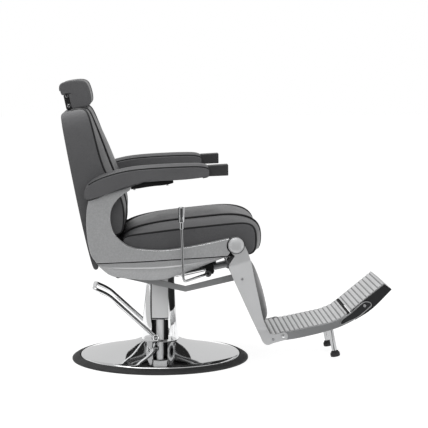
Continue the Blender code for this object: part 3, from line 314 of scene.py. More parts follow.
def spread(tree, value, middle, by):
    """Map a noise value to a range about a middle."""
    node = add_node(tree, "MapRange", {
        "Value": value, "From Min": NOISE_LOW, "From Max": NOISE_HIGH,
        "To Min": math_node(tree, "SUBTRACT", middle, by), "To Max": math_node(tree, "ADD", middle, by)})
    return node.outputs["Result"]


def hide_grain_group():
    """Pebbled grain of a coated hide."""
    tree, start, end = new_group(
        "hide grain", [("Size", "Float", 620.0)], ("Height", "Float"), ("Pores", "Float"))
    vector, size = start["Vector"], start["Size"]
    cells = add_node(tree, "TexVoronoi", {"Vector": vector, "Scale": size, "Smoothness": 0.35},
                     feature="SMOOTH_F1").outputs["Distance"]
    height = scaled(tree, cells, -0.9)
    for finer, detail, share in ((2.1, 3.0, 0.22), (0.16, 2.0, 0.5)):
        layer = noise_node(tree, vector, scaled(tree, size, finer), detail)
        height = math_node(tree, "ADD", height, scaled(tree, layer, share))
    tree.links.new(height, end["Height"])
    pores = add_node(tree, "MapRange", {"Value": cells, "From Min": 0.35, "From Max": 0.75})
    tree.links.new(pores.outputs["Result"], end["Pores"])
    return tree


def tone_drift_group():
    """A colour that drifts lighter and darker over the surface."""
    tree, start, end = new_group(
        "tone drift", [("Colour", "Color", (0.5, 0.5, 0.5, 1.0)), ("Size", "Float", 8.0),
                       ("Depth", "Float", 0.08)], ("Colour", "Color"))
    drift = spread(tree, noise_node(tree, start["Vector"], start["Size"], 4.0), 1.0, start["Depth"])
    tone = add_node(tree, "VectorMath", {"Vector": start["Colour"], "Scale": drift}, operation="SCALE")
    tree.links.new(tone.outputs["Vector"], end["Colour"])
    return tree


def gloss_drift_group():
    """A roughness with faint smears in it."""
    tree, start, end = new_group(
        "gloss drift", [("Roughness", "Float", 0.4), ("Size", "Float", 20.0), ("Spread", "Float", 0.05)],
        ("Roughness", "Float"))
    smears = noise_node(tree, start["Vector"], start["Size"], 5.0)
    tree.links.new(spread(tree, smears, start["Roughness"], start["Spread"]), end["Roughness"])
    return tree


def brush_lines_group():
    """Fine lines that a belt leaves on metal, stretched along one way."""
    tree, start, end = new_group(
        "brush lines", [("Stretch", "Vector", (1.0, 0.02, 1.0)), ("Size", "Float", 900.0)],
        ("Height", "Float"))
    along = add_node(tree, "VectorMath", {0: start["Vector"], 1: start["Stretch"]}, operation="MULTIPLY")
    tree.links.new(noise_node(tree, along.outputs["Vector"], start["Size"], 3.0), end["Height"])
    return tree


def fine_speck_group():
    """Blasted or moulded specks."""
    tree, start, end = new_group("fine speck", [("Size", "Float", 1200.0)], ("Height", "Float"))
    small = noise_node(tree, start["Vector"], start["Size"], 2.0)
    broad = noise_node(tree, start["Vector"], scaled(tree, start["Size"], 0.3), 1.0)
    tree.links.new(math_node(tree, "ADD", small, scaled(tree, broad, 0.4)), end["Height"])
    return tree


GROUP_MAKERS = {
    "hide grain": hide_grain_group, "tone drift": tone_drift_group, "gloss drift": gloss_drift_group,
    "brush lines": brush_lines_group, "fine speck": fine_speck_group,
}


# Materials

class Finish:
    """A material under construction: its tree, its shader and its Object coordinates."""

    def __init__(self, name):
        self.material = bpy.data.materials.new(name)
        self.material.use_nodes = True
        self.tree = self.material.node_tree
        self.shader = self.tree.nodes["Principled BSDF"]
        self.place = self.tree.nodes.new("ShaderNodeTexCoord").outputs["Object"]

    def group(self, name, **values):
        made = bpy.data.node_groups.get(name) or GROUP_MAKERS[name]()
        return add_node(self.tree, "Group", {"Vector": self.place, **values}, node_tree=made).outputs

    def feed(self, label, socket):
        self.tree.links.new(socket, self.shader.inputs[label])

    def set(self, label, value):
        self.shader.inputs[label].default_value = value

    def tone(self, colour, size, depth):
        return self.group("tone drift", Colour=(*colour, 1.0), Size=size, Depth=depth)["Colour"]

    def gloss(self, roughness, size, spread_by):
        drift = self.group("gloss drift", Roughness=roughness, Size=size, Spread=spread_by)
        self.feed("Roughness", drift["Roughness"])

    def bump(self, height, distance, strength):
        node = add_node(self.tree, "Bump", {"Height": height, "Distance": distance, "Strength": strength})
        self.feed("Normal", node.outputs["Normal"])


def hide_finish(name, colour, grain, roughness):
    made = Finish(name)
    hide = made.group("hide grain", Size=grain)
    darker = add_node(made.tree, "Mix", {
        "Factor": hide["Pores"], "A": made.tone(colour, 7.0, 0.07), "B": (0.72, 0.72, 0.73, 1.0)},
        data_type="RGBA", blend_type="MULTIPLY")
    made.feed("Base Color", darker.outputs["Result"])
    made.gloss(roughness, 26.0, 0.05)
    made.bump(hide["Height"], 0.0006, 0.30)
    made.set("Specular IOR Level", 0.50)
    return made.material


def metal_finish(name, colour, roughness, metallic, speck=0.0, speck_size=1500.0, brush=None,
                 drift=0.03, drift_size=9.0):
    made = Finish(name)
    made.feed("Base Color", made.tone(colour, drift_size, drift))
    made.gloss(roughness, 14.0, min(0.05, roughness * 0.22))
    made.set("Metallic", metallic)
    if brush:
        made.bump(made.group("brush lines", Stretch=brush)["Height"], 0.0002, speck)
    elif speck:
        made.bump(made.group("fine speck", Size=speck_size)["Height"], 0.0002, speck)
    return made.material


def dull_finish(name, colour, roughness, speck, speck_size, gleam=0.5):
    made = Finish(name)
    made.set("Specular IOR Level", gleam)
    made.feed("Base Color", made.tone(colour, 11.0, 0.12))
    made.gloss(roughness, 18.0, 0.06)
    made.bump(made.group("fine speck", Size=speck_size)["Height"], 0.0003, speck)
    return made.material


# Each finish: its maker, its colour and its other values
FINISHES = {
    "grey hide": (hide_finish, "leather", dict(grain=620.0, roughness=0.36)),
    "black welt": (hide_finish, "welt", dict(grain=900.0, roughness=0.50)),
    "blasted aluminium": (metal_finish, "panel", dict(
        roughness=0.42, metallic=0.30, speck=0.16, speck_size=1700.0, drift=0.10, drift_size=240.0)),
    "cast alloy": (metal_finish, "alloy", dict(roughness=0.36, metallic=0.85, speck=0.10)),
    "leg alloy": (metal_finish, "leg", dict(roughness=0.40, metallic=0.35, speck=0.10)),
    "ribbed alloy": (metal_finish, "tread", dict(roughness=0.42, metallic=0.65, speck=0.08)),
    # A darker copy of the ribbed alloy, as painted shade in the tread grooves
    "groove_shade": (metal_finish, "groove_shade", dict(roughness=0.50, metallic=0.30, speck=0.08)),
    "satin plate": (metal_finish, "plate", dict(roughness=0.46, metallic=0.05, speck=0.08)),
    "mirror chrome": (metal_finish, "chrome", dict(roughness=0.045, metallic=1.0, drift=0.01)),
    # Chrome darkened as painted shade in its reflections
    "dark chrome": (metal_finish, "shaded_chrome", dict(roughness=0.06, metallic=1.0, drift=0.01)),
    # A chrome copy put on the side panels' chamfers as a painted highlight
    "painted edge highlight": (metal_finish, "chrome", dict(roughness=0.18, metallic=1.0, drift=0.02)),
    "plain steel": (metal_finish, "steel", dict(roughness=0.44, metallic=0.7, speck=0.08)),
    "bright steel": (metal_finish, "steel", dict(
        roughness=0.26, metallic=1.0, speck=0.10, brush=(0.03, 1.0, 1.0))),
    "graphite coat": (metal_finish, "graphite", dict(roughness=0.42, metallic=0.55, speck=0.14, drift=0.06)),
    "dark coat": (metal_finish, "dark_coat", dict(roughness=0.38, metallic=0.75, speck=0.14, drift=0.06)),
    "black paint": (dull_finish, "paint", dict(roughness=0.40, speck=0.10, speck_size=420.0)),
    "moulded black": (dull_finish, "plastic", dict(roughness=0.48, speck=0.22, speck_size=1100.0)),
    # Black paint darkened, with its gleam cut, as painted shade
    "shaded black": (dull_finish, "shade", dict(roughness=0.60, speck=0.10, speck_size=420.0, gleam=0.12)),
    "moulded grip": (dull_finish, "grip", dict(roughness=0.48, speck=0.22, speck_size=1100.0)),
    "black rubber": (dull_finish, "rubber", dict(roughness=0.66, speck=0.20, speck_size=900.0)),
}


def finish(name):
    """The named material, made at its first use."""
    maker, colour, values = FINISHES[name]
    return bpy.data.materials.get(name) or maker(name, getattr(colours(), colour), **values)


# Making pieces

def only(piece):
    bpy.ops.object.select_all(action="DESELECT")
    piece.select_set(True)
    bpy.context.view_layer.objects.active = piece


def add_piece(name, data):
    piece = bpy.data.objects.new(name, data)
    bpy.context.scene.collection.objects.link(piece)
    only(piece)
    return piece


def edit(piece, *steps):
    """Run edit mode steps on the whole of a piece."""
    only(piece)
    bpy.ops.object.mode_set(mode="EDIT")
    bpy.ops.mesh.select_all(action="SELECT")
    for step in steps:
        step()
    bpy.ops.object.mode_set(mode="OBJECT")


def merge():
    bpy.ops.mesh.remove_doubles(threshold=2e-5)


def face_out():
    bpy.ops.mesh.normals_make_consistent(inside=False)


def dissolve_flat():
    bpy.ops.mesh.dissolve_limited(angle_limit=math.radians(0.4))


def smooth(piece, degrees=35.0):
    only(piece)
    bpy.ops.object.shade_smooth_by_angle(angle=math.radians(degrees))


def apply_step(piece, kind, **values):
    only(piece)
    step = piece.modifiers.new(kind.lower(), kind)
    for label, value in values.items():
        setattr(step, label, value)
    bpy.ops.object.modifier_apply(modifier=step.name)


def round_edges(piece, width, segments=3, degrees=32.0):
    apply_step(piece, "BEVEL", width=width, segments=segments, limit_method="ANGLE",
               angle_limit=math.radians(degrees), use_clamp_overlap=True)
    smooth(piece, 40.0)
    piece.data["flat_faced"] = True


def keep_flats(piece):
    """Shade the large flats of a rounded piece flat."""
    del piece.data["flat_faced"]
    apply_step(piece, "WEIGHTED_NORMAL", mode="FACE_AREA", weight=80, keep_sharp=True)


def copy_node(node, name):
    """A merged copy of a frame node's mesh."""
    piece = add_piece(name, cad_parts[node].data.copy())
    piece.data.materials.clear()
    if piece.data.has_custom_normals:
        bpy.ops.mesh.customdata_custom_splitnormals_clear()
    edit(piece, merge, dissolve_flat)
    return piece


def mirrored(piece, name):
    """The twin of a piece on the other side of the chair."""
    twin = add_piece(name, piece.data.copy())
    twin.data.transform(Matrix.Diagonal((1.0, -1.0, 1.0, 1.0)))
    edit(twin, face_out)
    return twin


def settle(piece, body, material, slot, *nodes):
    """Give a finished piece its material, its body and its place in the record."""
    piece.data.materials.clear()
    piece.data.materials.append(finish(material))
    if "flat_faced" in piece.data:
        keep_flats(piece)
    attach(piece, body)
    if nodes:
        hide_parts(*nodes)
    return piece


def settle_pair(piece, name, body, material, slot, node=None):
    """Settle a right hand piece and its mirrored twin, and give both back."""
    twin = mirrored(piece, f"{name}_left")
    for item, tag in ((twin, "left"), (piece, "right")):
        settle(item, body, material, slot, *([f"{node}_{tag}"] if node else []))
    return piece, twin


def refinish(piece, material, wanted):
    """Give the faces that a test picks their own finish."""
    piece.data.materials.append(finish(material))
    for face in piece.data.polygons:
        if wanted(face):
            face.material_index = 1


def outline_curve(name, outlines, half, bends):
    curve = bpy.data.curves.new(name, "CURVE")
    curve.dimensions = "2D"
    curve.fill_mode = "BOTH"
    curve.extrude = half
    curve.resolution_u = bends
    for outline in outlines:
        line = curve.splines.new("BEZIER")
        line.bezier_points.add(len(outline) - 1)
        for point, spec in zip(line.bezier_points, outline):
            point.co = (spec[0] * MM, spec[1] * MM, 0.0)
        for point, spec in zip(line.bezier_points, outline):
            kind = "VECTOR" if len(spec) > 2 else "AUTO"
            point.handle_left_type = kind
            point.handle_right_type = kind
        line.use_cyclic_u = True
    return curve


def cut_plate(name, outlines, y_from, y_to, bends=8):
    """A flat plate between two y values; the outlines after the first are holes."""
    piece = add_piece(name, outline_curve(name, outlines, abs(y_to - y_from) / 2, bends))
    bpy.ops.object.convert(target="MESH")
    upright = Matrix.Translation((0.0, (y_from + y_to) / 2, 0.0)) @ Matrix.Rotation(math.pi / 2, 4, "X")
    piece.data.transform(upright)
    edit(piece, merge, face_out, dissolve_flat)
    return piece


def plate_pair(name, outlines, y_from, y_to, edge, *record, segments=3):
    """A plate with rounded edges on either side of the chair."""
    plate = cut_plate(f"{name}_right", outlines, y_from, y_to)
    round_edges(plate, edge, segments)
    settle_pair(plate, name, *record)


def round_hole(centre, radius, count=40):
    turns = [FULL_TURN * i / count for i in range(count)]
    return [((centre[0] + radius * math.cos(turn)) / MM, (centre[1] + radius * math.sin(turn)) / MM, CORNER)
            for turn in turns]


def flowing(points, steps, closed=False):
    """Points on a smooth line through the given ones."""
    spots = [Vector(point) for point in points]
    count = len(spots)
    made = []
    for i in range(count if closed else count - 1):
        if closed:
            a, b, c, d = (spots[(i + k) % count] for k in (-1, 0, 1, 2))
        else:
            a, b, c, d = (spots[min(max(i + k, 0), count - 1)] for k in (-1, 0, 1, 2))
        for j in range(steps):
            t = j / steps
            made.append(0.5 * (2 * b + (c - a) * t + (2 * a - 5 * b + 4 * c - d) * t * t
                               + (3 * b - a - 3 * c + d) * t ** 3))
    if not closed:
        made.append(spots[-1])
    return made


def eased(points, reach, steps):
    """A route whose corners are rounded."""
    spots = [Vector(point) for point in points]
    made = [spots[0]]
    for before, corner, after in zip(spots, spots[1:], spots[2:]):
        cut = min(reach, (before - corner).length * 0.48, (after - corner).length * 0.48)
        a = corner + (before - corner).normalized() * cut
        b = corner + (after - corner).normalized() * cut
        for j in range(steps + 1):
            t = j / steps
            made.append(a * (1 - t) ** 2 + corner * (2 * t * (1 - t)) + b * t * t)
    made.append(spots[-1])
    return made


def tube(name, points, radius, rounds, closed=False):
    """A round rod along a route."""
    curve = bpy.data.curves.new(name, "CURVE")
    curve.dimensions = "3D"
    curve.bevel_depth = radius
    curve.bevel_resolution = rounds
    curve.use_fill_caps = not closed
    line = curve.splines.new("POLY")
    line.points.add(len(points) - 1)
    for spot, point in zip(line.points, points):
        spot.co = (*point, 1.0)
    line.use_cyclic_u = closed
    piece = add_piece(name, curve)
    bpy.ops.object.convert(target="MESH")
    edit(piece, merge, face_out)
    smooth(piece, 50.0)
    return piece


def turned(name, profile, steps=None, closed=True, degrees=35.0):
    """A piece spun about Z from its (radius, height) profile in metres."""
    count = len(profile)
    edges = [(i, i + 1) for i in range(count - 1)]
    if closed:
        edges.append((count - 1, 0))
    mesh = bpy.data.meshes.new(name)
    mesh.from_pydata([(r, 0.0, z) for r, z in profile], edges, [])
    piece = add_piece(name, mesh)
    steps = steps or sizes().turn_steps
    edit(piece, lambda: bpy.ops.mesh.spin(steps=steps, angle=FULL_TURN, center=(0, 0, 0), axis=(0, 0, 1)),
         lambda: bpy.ops.mesh.select_all(action="SELECT"), merge, face_out)
    smooth(piece, degrees)
    return piece


def point_along(piece, place, way):
    """Carry a piece made about Z to a place, with its Z turned along a direction."""
    turn = Vector(way).to_track_quat("Z", "Y").to_matrix().to_4x4()
    piece.data.transform(Matrix.Translation(place) @ turn)


def turned_pair(name, profile, place, way, steps, closed, *record):
    """A turned piece on either side of the chair."""
    piece = turned(f"{name}_right", profile, steps, closed)
    point_along(piece, place, way)
    settle_pair(piece, name, *record)


def socket_screw(name, place, way, radius, height):
    """A button head screw with a six sided socket."""
    hollow = radius * 0.52
    profile = [(0, height * 0.35), (hollow, height * 0.35), (hollow, height * 0.94), (hollow * 1.12, height),
               (radius * 0.74, height * 0.93), (radius * 0.93, height * 0.62), (radius, height * 0.25),
               (radius, 0), (0, 0)]
    piece = turned(name, profile, steps=36, closed=False)
    for vert in piece.data.vertices:
        reach = math.hypot(vert.co.x, vert.co.y)
        if abs(reach - hollow) < 1e-6:
            turn = math.atan2(vert.co.y, vert.co.x) % (FULL_TURN / 6) - FULL_TURN / 12
            ease = math.cos(FULL_TURN / 12) / math.cos(turn)
            vert.co.x *= ease
            vert.co.y *= ease
    point_along(piece, place, way)
    return piece


def screw_pair(name, place, way, radius, height, *record):
    """A screw on either side of the chair."""
    settle_pair(socket_screw(f"{name}_right", place, way, radius, height), name, *record)


def rounded_copy(node, name, edge, body, material, slot):
    """A frame node's own shape, with its edges rounded."""
    piece = copy_node(node, name)
    round_edges(piece, edge, 2)
    settle(piece, body, material, slot, node)


def cut_box(piece, place, size, edge=0.0):
    """Cut a box out of a piece."""
    cutter = add_piece("cutter", bpy.data.meshes.new("cutter"))
    edit(cutter, lambda: bpy.ops.mesh.primitive_cube_add(size=1.0, location=place, scale=size))
    if edge:
        apply_step(cutter, "BEVEL", width=edge, segments=3)
    apply_step(piece, "BOOLEAN", operation="DIFFERENCE", solver="EXACT", object=cutter)
    bpy.data.objects.remove(cutter, do_unlink=True)


def skin(name, rings):
    """A closed quad skin through rings of points."""
    shape = bmesh.new()
    rows = [[shape.verts.new(point) for point in ring] for ring in rings]
    count = len(rows[0])
    for near, far in zip(rows, rows[1:]):
        for i in range(count):
            j = (i + 1) % count
            shape.faces.new((near[i], near[j], far[j], far[i]))
    shape.faces.new(rows[0])
    shape.faces.new(rows[-1])
    bmesh.ops.recalc_face_normals(shape, faces=shape.faces)
    mesh = bpy.data.meshes.new(name)
    shape.to_mesh(mesh)
    shape.free()
    return add_piece(name, mesh)


def capped(rings):
    """Rings with more at both ends, which shrink towards the middle of the end."""
    ends = []
    for ring in (rings[0], rings[-1]):
        middle = sum((Vector(point) for point in ring), Vector()) / len(ring)
        ends.append([[middle + (Vector(point) - middle) * share for point in ring] for share in CAP_SHARES])
    return ends[0][::-1] + rings + ends[1]


def cushion(name, rings, levels=2):
    """A smooth cover through rings of points."""
    cover = skin(name, capped(rings))
    apply_step(cover, "SUBSURF", levels=levels, render_levels=levels)
    smooth(cover, 80.0)
    return cover


def filled(piece, held, cap):
    """Let the filling push a cover out between its seams, by cloth simulation."""
    only(piece)
    scene = bpy.context.scene
    group = piece.vertex_groups.new(name="held")
    group.add([v.index for v in piece.data.vertices if held(v.co)], 1.0, "REPLACE")
    before = [v.co.copy() for v in piece.data.vertices]
    step = piece.modifiers.new("filling", "CLOTH")
    cloth = step.settings
    cloth.quality = 4
    cloth.use_pressure = True
    cloth.uniform_pressure_force = 4.0
    cloth.effector_weights.gravity = 0.0
    cloth.vertex_group_mass = "held"
    step.collision_settings.use_collision = False
    step.point_cache.frame_start = 1
    step.point_cache.frame_end = FILL_FRAMES
    for moment in range(1, FILL_FRAMES + 1):
        scene.frame_set(moment)
    bpy.ops.object.modifier_apply(modifier=step.name)
    scene.frame_set(1)
    for vert, start in zip(piece.data.vertices, before):
        move = vert.co - start
        if move.length > cap:
            vert.co = start + move * (cap / move.length)
    piece.vertex_groups.clear()
    edit(piece, lambda: bpy.ops.mesh.vertices_smooth(factor=0.5, repeat=3))


def section_loop(piece, y):
    """The outline of a piece where a plane across the chair cuts it, as (x, z) in order."""
    shape = bmesh.new()
    shape.from_mesh(piece.data)
    cut = bmesh.ops.bisect_plane(shape, geom=shape.verts[:] + shape.edges[:] + shape.faces[:],
                                 plane_co=(0, y, 0), plane_no=(0, 1, 0), clear_inner=True, clear_outer=True)
    edges = [item for item in cut["geom_cut"] if isinstance(item, bmesh.types.BMEdge)]
    near = {}
    for edge in edges:
        a, b = edge.verts
        near.setdefault(a, []).append(b)
        near.setdefault(b, []).append(a)
    start = max(near, key=lambda vert: (vert.co.x, vert.co.z))
    loop = [start]
    seen = {start}
    while True:
        ahead = [vert for vert in near[loop[-1]] if vert not in seen]
        if not ahead:
            break
        loop.append(ahead[0])
        seen.add(ahead[0])
    spots = [Vector((vert.co.x, vert.co.z)) for vert in loop]
    shape.free()
    return spots


def even(spots, step, closed):
    """The same line with points an even step apart."""
    line = spots + [spots[0]] if closed else spots
    lengths = [(b - a).length for a, b in zip(line, line[1:])]
    total = sum(lengths)
    count = max(int(total / step), 4)
    made = []
    run = 0.0
    i = 0
    for k in range(count if closed else count + 1):
        want = total * k / count
        while i < len(lengths) - 1 and run + lengths[i] < want:
            run += lengths[i]
            i += 1
        share = min(max((want - run) / max(lengths[i], 1e-9), 0.0), 1.0)
        made.append(line[i].lerp(line[i + 1], share))
    return made


def relaxed(spots, closed, rounds=2):
    for _ in range(rounds):
        count = len(spots)
        fresh = []
        for i, spot in enumerate(spots):
            if not closed and i in (0, count - 1):
                fresh.append(spot)
            else:
                fresh.append(spots[i - 1] * 0.25 + spot * 0.5 + spots[(i + 1) % count] * 0.25)
        spots = fresh
    return spots


def welt_line(name, piece, y, radius, proud, keep=None, shift=0.0):
    """Piping along the section of a cushion at a place across the chair."""
    loop = section_loop(piece, y)
    closed = keep is None
    if keep:
        flags = [keep(spot) for spot in loop]
        count = len(loop)
        first = next(i for i in range(count) if flags[i] and not flags[i - 1])
        line = []
        for k in range(count):
            if not flags[(first + k) % count]:
                break
            line.append(loop[(first + k) % count])
        loop = line
    loop = relaxed(even(loop, 0.005, closed), closed)
    count = len(loop)
    area = sum(a.cross(b) for a, b in zip(loop, loop[1:] + loop[:1]))
    flip = 1.0 if area > 0 else -1.0
    route = []
    for i, spot in enumerate(loop):
        if closed:
            way = loop[(i + 1) % count] - loop[i - 1]
        else:
            way = loop[min(i + 1, count - 1)] - loop[max(i - 1, 0)]
        out = Vector((way.y, -way.x)).normalized() * flip
        spot = spot + out * proud
        route.append((spot.x, y + shift, spot.y))
    return tube(name, route, radius, 3, closed)


def tilt_by(piece, angle):
    """Lean a piece made upright back about the Y axis."""
    piece.data.transform(Matrix.Rotation(-angle, 4, "Y"))


def dome(share, power=2.0):
    return 1.0 - abs(share) ** power


def channel(share):
    """How far a sewn channel draws a cover in."""
    return sizes().channel * math.exp(-((abs(share) - sizes().seam) / 0.020) ** 2)


def both_ways(half):
    """Shares from the middle outwards, taken to both sides."""
    return [-share for share in half[:0:-1]] + list(half)


def stations():
    """Places across a cushion, close together at its channels and its edges."""
    seam = sizes().seam
    return both_ways([0.0, 0.16, 0.32, 0.46, seam - 0.085, seam - 0.040, seam - 0.018, seam, seam + 0.018,
                      seam + 0.040, seam + 0.085, 0.80, 0.89, 0.945, 0.975, 0.990, 1.0])


# Upholstery

def pan_top():
    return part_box("seat_pan")[1].z + CLEARANCE


def sewn_down(spot, half):
    """Whether a place on a cushion is held, at its side edges or in a channel."""
    return abs(spot.y) > half * HELD_EDGE or abs(abs(spot.y) - sizes().seam * half) < SEWN_REACH


def make_seat_cushion():
    base = pan_top()
    rings = []
    for share in stations():
        crown = SEAT_CROWN * dome(share, 3.2) - channel(share)
        bow = SEAT_BOW * dome(share, 6.0) - channel(share)
        rings.append([(x * MM + bow * out, share * SEAT_HALF, base + z * MM + crown * up)
                      for x, z, up, out in SEAT_PROFILE])
    seat = cushion("seat_pad", rings)
    filled(seat, lambda spot: sewn_down(spot, SEAT_HALF) or spot.z < base + 0.030, sizes().swell)
    settle(seat, "seat", "grey hide", "leather", "seat_cushion")
    welt = sizes().welt
    for side, tag in SIDES:
        edge = welt_line(f"seat_edge_welt_{tag}", seat, side * (SEAT_HALF - EDGE_WELT_IN), welt,
                         EDGE_WELT_OUT, shift=side * EDGE_WELT_OUT)
        settle(edge, "seat", "black welt", "leather")
        line = welt_line(f"seat_channel_welt_{tag}", seat, side * sizes().seam * SEAT_HALF, welt,
                         CHANNEL_WELT_OUT, keep=lambda spot: spot.y > base + 0.008)
        settle(line, "seat", "black welt", "leather")


def back_ring(share):
    """The back's side outline at a place across it, along its own axes."""
    front = []
    for up, side, mid in BACK_FRONT:
        bulge = (side + (mid - side) * dome(share, 3.6)) * MM
        front.append((bulge - channel(share), BACK_LOW + (BACK_TOP - BACK_LOW) * up))
    tail = BACK_REAR + 0.016
    low = 0.373
    foot = BACK_REAR - 0.6 * BACK_BELLY
    tongue = [(foot, low + 0.010), (foot + 0.004, low), (tail - 0.004, low), (tail, low + 0.010),
              (tail, BACK_LOW - 0.030), (tail + 0.004, BACK_LOW - 0.010), (tail + 0.018, BACK_LOW)]
    under = [(front[0][0] - 0.030, BACK_LOW), (front[0][0] - 0.008, BACK_LOW + 0.002)]
    top = [(front[-1][0] - 0.018, BACK_TOP), (BACK_REAR + 0.044, BACK_TOP), (BACK_REAR + 0.017, BACK_TOP),
           (BACK_REAR + 0.006, BACK_TOP - 0.0030), (BACK_REAR + 0.0015, BACK_TOP - 0.009)]
    rear = [(BACK_REAR, BACK_TOP - 0.020), (BACK_REAR - 0.45 * BACK_BELLY, BACK_TOP - 0.095),
            (BACK_REAR - BACK_BELLY, BACK_LOW + 0.115), (BACK_REAR - BACK_BELLY, BACK_LOW - 0.010)]
    return tongue + under + front + top + rear


def shoulder(u):
    """Share of the back's half width left at a height: its shoulders roll in."""
    rise = max(u - (BACK_TOP - SHOULDER), 0.0) / SHOULDER
    return 1.0 - 0.11 * rise ** 2.2


def back_welts(back):
    """The back's piping: its front edges, its channels and its rear edges."""
    welt = sizes().welt

    def in_front(spot):
        return spot.x > BACK_SPLIT and spot.y > BACK_LOW - 0.004

    def behind(spot):
        return spot.x < BACK_SPLIT and spot.y > 0.380

    made = []
    for side, tag in SIDES:
        made.append(welt_line(f"back_edge_welt_{tag}", back, side * (BACK_HALF - EDGE_WELT_IN), welt,
                              EDGE_WELT_OUT, shift=side * EDGE_WELT_OUT, keep=in_front))
        made.append(welt_line(f"back_channel_welt_{tag}", back, side * sizes().seam * BACK_HALF, welt,
                              CHANNEL_WELT_OUT, keep=in_front))
        made.append(welt_line(f"back_rear_welt_{tag}", back, side * (BACK_HALF - 0.0045), welt * 0.8, 0.0004,
                              shift=side * 0.0010, keep=behind))
    return made


def make_back_cushion():
    back = cushion("back_pad", [[(n, share * BACK_HALF, u) for n, u in back_ring(share)]
                                for share in stations()])

    def held(spot):
        return sewn_down(spot, BACK_HALF) or spot.x < -0.075 or spot.z > BACK_TOP - SHOULDER

    filled(back, held, sizes().swell)
    welts = back_welts(back)
    for piece in (back, *welts):
        for vert in piece.data.vertices:
            vert.co.y *= shoulder(vert.co.z)
    cut_box(back, (HEAD_PIVOT[0], 0.0, BACK_TOP - 0.05), (0.0114, 0.0714, 0.310))
    smooth(back, 60.0)
    for piece in (back, *welts):
        tilt_by(piece, BACK_TILT)
    settle(back, "back", "grey hide", "leather", "back_cushion", "back_shell")
    for piece in welts:
        settle(piece, "back", "black welt", "leather")
    make_stem_guide()


def make_stem_guide():
    """The moulded guide that the headrest's stem slides through."""
    n = HEAD_PIVOT[0] / MM
    corners = ((-1, -1), (-1, 1), (1, 1), (1, -1))
    rims = [[(n + a * deep, b * wide, CORNER) for a, b in corners] for deep, wide in ((11, 46), (5.7, 35.7))]
    guide = cut_plate("stem_guide", rims, -0.0015, 0.0015)
    lie_flat = Matrix.Rotation(-math.pi / 2, 4, "X")
    guide.data.transform(Matrix.Translation((0.0, 0.0, BACK_TOP + 0.0008)) @ lie_flat)
    round_edges(guide, 0.0012)
    tilt_by(guide, BACK_TILT)
    settle(guide, "back", "moulded black", "black_plastic")


def make_headrest():
    n, u = HEAD_PIVOT
    rings = []
    for share in both_ways((0.0, 0.3, 0.6, 0.8, 0.92, 0.965, 0.985, 1.0)):
        swell = 0.0010 * dome(share, 2.5)
        ring = []
        for px, pz in HEAD_PROFILE:
            out = swell if px > 30 else 0.0
            lift = swell if pz > 30 else 0.0
            ring.append((n + px * MM + out, share * HEAD_HALF, u + pz * MM + lift))
        rings.append(ring)
    pad = cushion("headrest_cover", rings)

    def held(spot):
        return abs(spot.y) > HEAD_HALF * 0.95 or (spot.x < n + 0.013 and spot.z < u + 0.013)

    filled(pad, held, 0.0020)
    welts = []
    for side, tag in SIDES:
        welts.append(welt_line(f"headrest_welt_{tag}", pad, side * (HEAD_HALF - 0.0040), sizes().welt * 0.72,
                               0.0004, shift=side * 0.0008,
                               keep=lambda spot: spot.x > n + 0.020 or spot.y > u + 0.018))
    for piece in (pad, *welts):
        tilt_by(piece, BACK_TILT)
    settle(pad, "headrest", "grey hide", "leather", "headrest_pad")
    for piece in welts:
        settle(piece, "headrest", "grey hide", "leather")


def make_headrest_bracket():
    rounded_copy("headrest_bracket", "headrest_yoke", 0.0012,
                 "headrest_carrier", "black paint", "black_steel")
    face = 0.1172
    for side, tag in SIDES:
        for level, drop in (("upper", 0.0), ("lower", HEAD_BOLT_DROP)):
            n, u = HEAD_PIVOT[0] + 0.002, HEAD_PIVOT[1] - drop
            x = n * math.cos(BACK_TILT) - u * math.sin(BACK_TILT)
            z = n * math.sin(BACK_TILT) + u * math.cos(BACK_TILT)
            screw = socket_screw(f"headrest_screw_{level}_{tag}", (x, side * face, z), (0, side, 0),
                                 0.0068, 0.0050)
            settle(screw, "headrest_carrier", "cast alloy", "steel")


def arm_line(x, fall):
    """Height where the sides of an arm pad meet its top: level, and falling behind."""
    return 0.640 + fall * min(x + 0.142, 0.0)


def make_arms():
    for side, tag in SIDES:
        middle = side * ARM_MIDDLE
        rings = []
        for share in both_ways((0.0, 0.35, 0.62, 0.80, 0.91, 0.97, 1.0)):
            crown = 0.011 * dome(share, 2.6)
            drop = 0.003 * share * share
            y = middle + share * ARM_HALF
            rings.append([(px * MM, y, pz * MM + crown * up - drop * up) for px, pz, up in ARM_PAD])
        pad = cushion(f"arm_cover_{tag}", rings)

        def held(spot, middle=middle):
            return abs(spot.y - middle) > ARM_HALF * 0.9 or spot.z < arm_line(spot.x, 0.26)

        filled(pad, held, 0.0030)
        settle(pad, "seat", "grey hide", "leather", f"arm_pad_{tag}")
        for edge, label in ((-1, "a"), (1, "b")):
            welt = welt_line(f"arm_welt_{tag}_{label}", pad, middle + edge * (ARM_HALF - 0.0040),
                             sizes().welt * 0.68, 0.0005, shift=edge * 0.0008,
                             keep=lambda spot: spot.y > arm_line(spot.x, 0.28))
            settle(welt, "seat", "black welt", "leather")
        make_arm_hardware(side, tag)


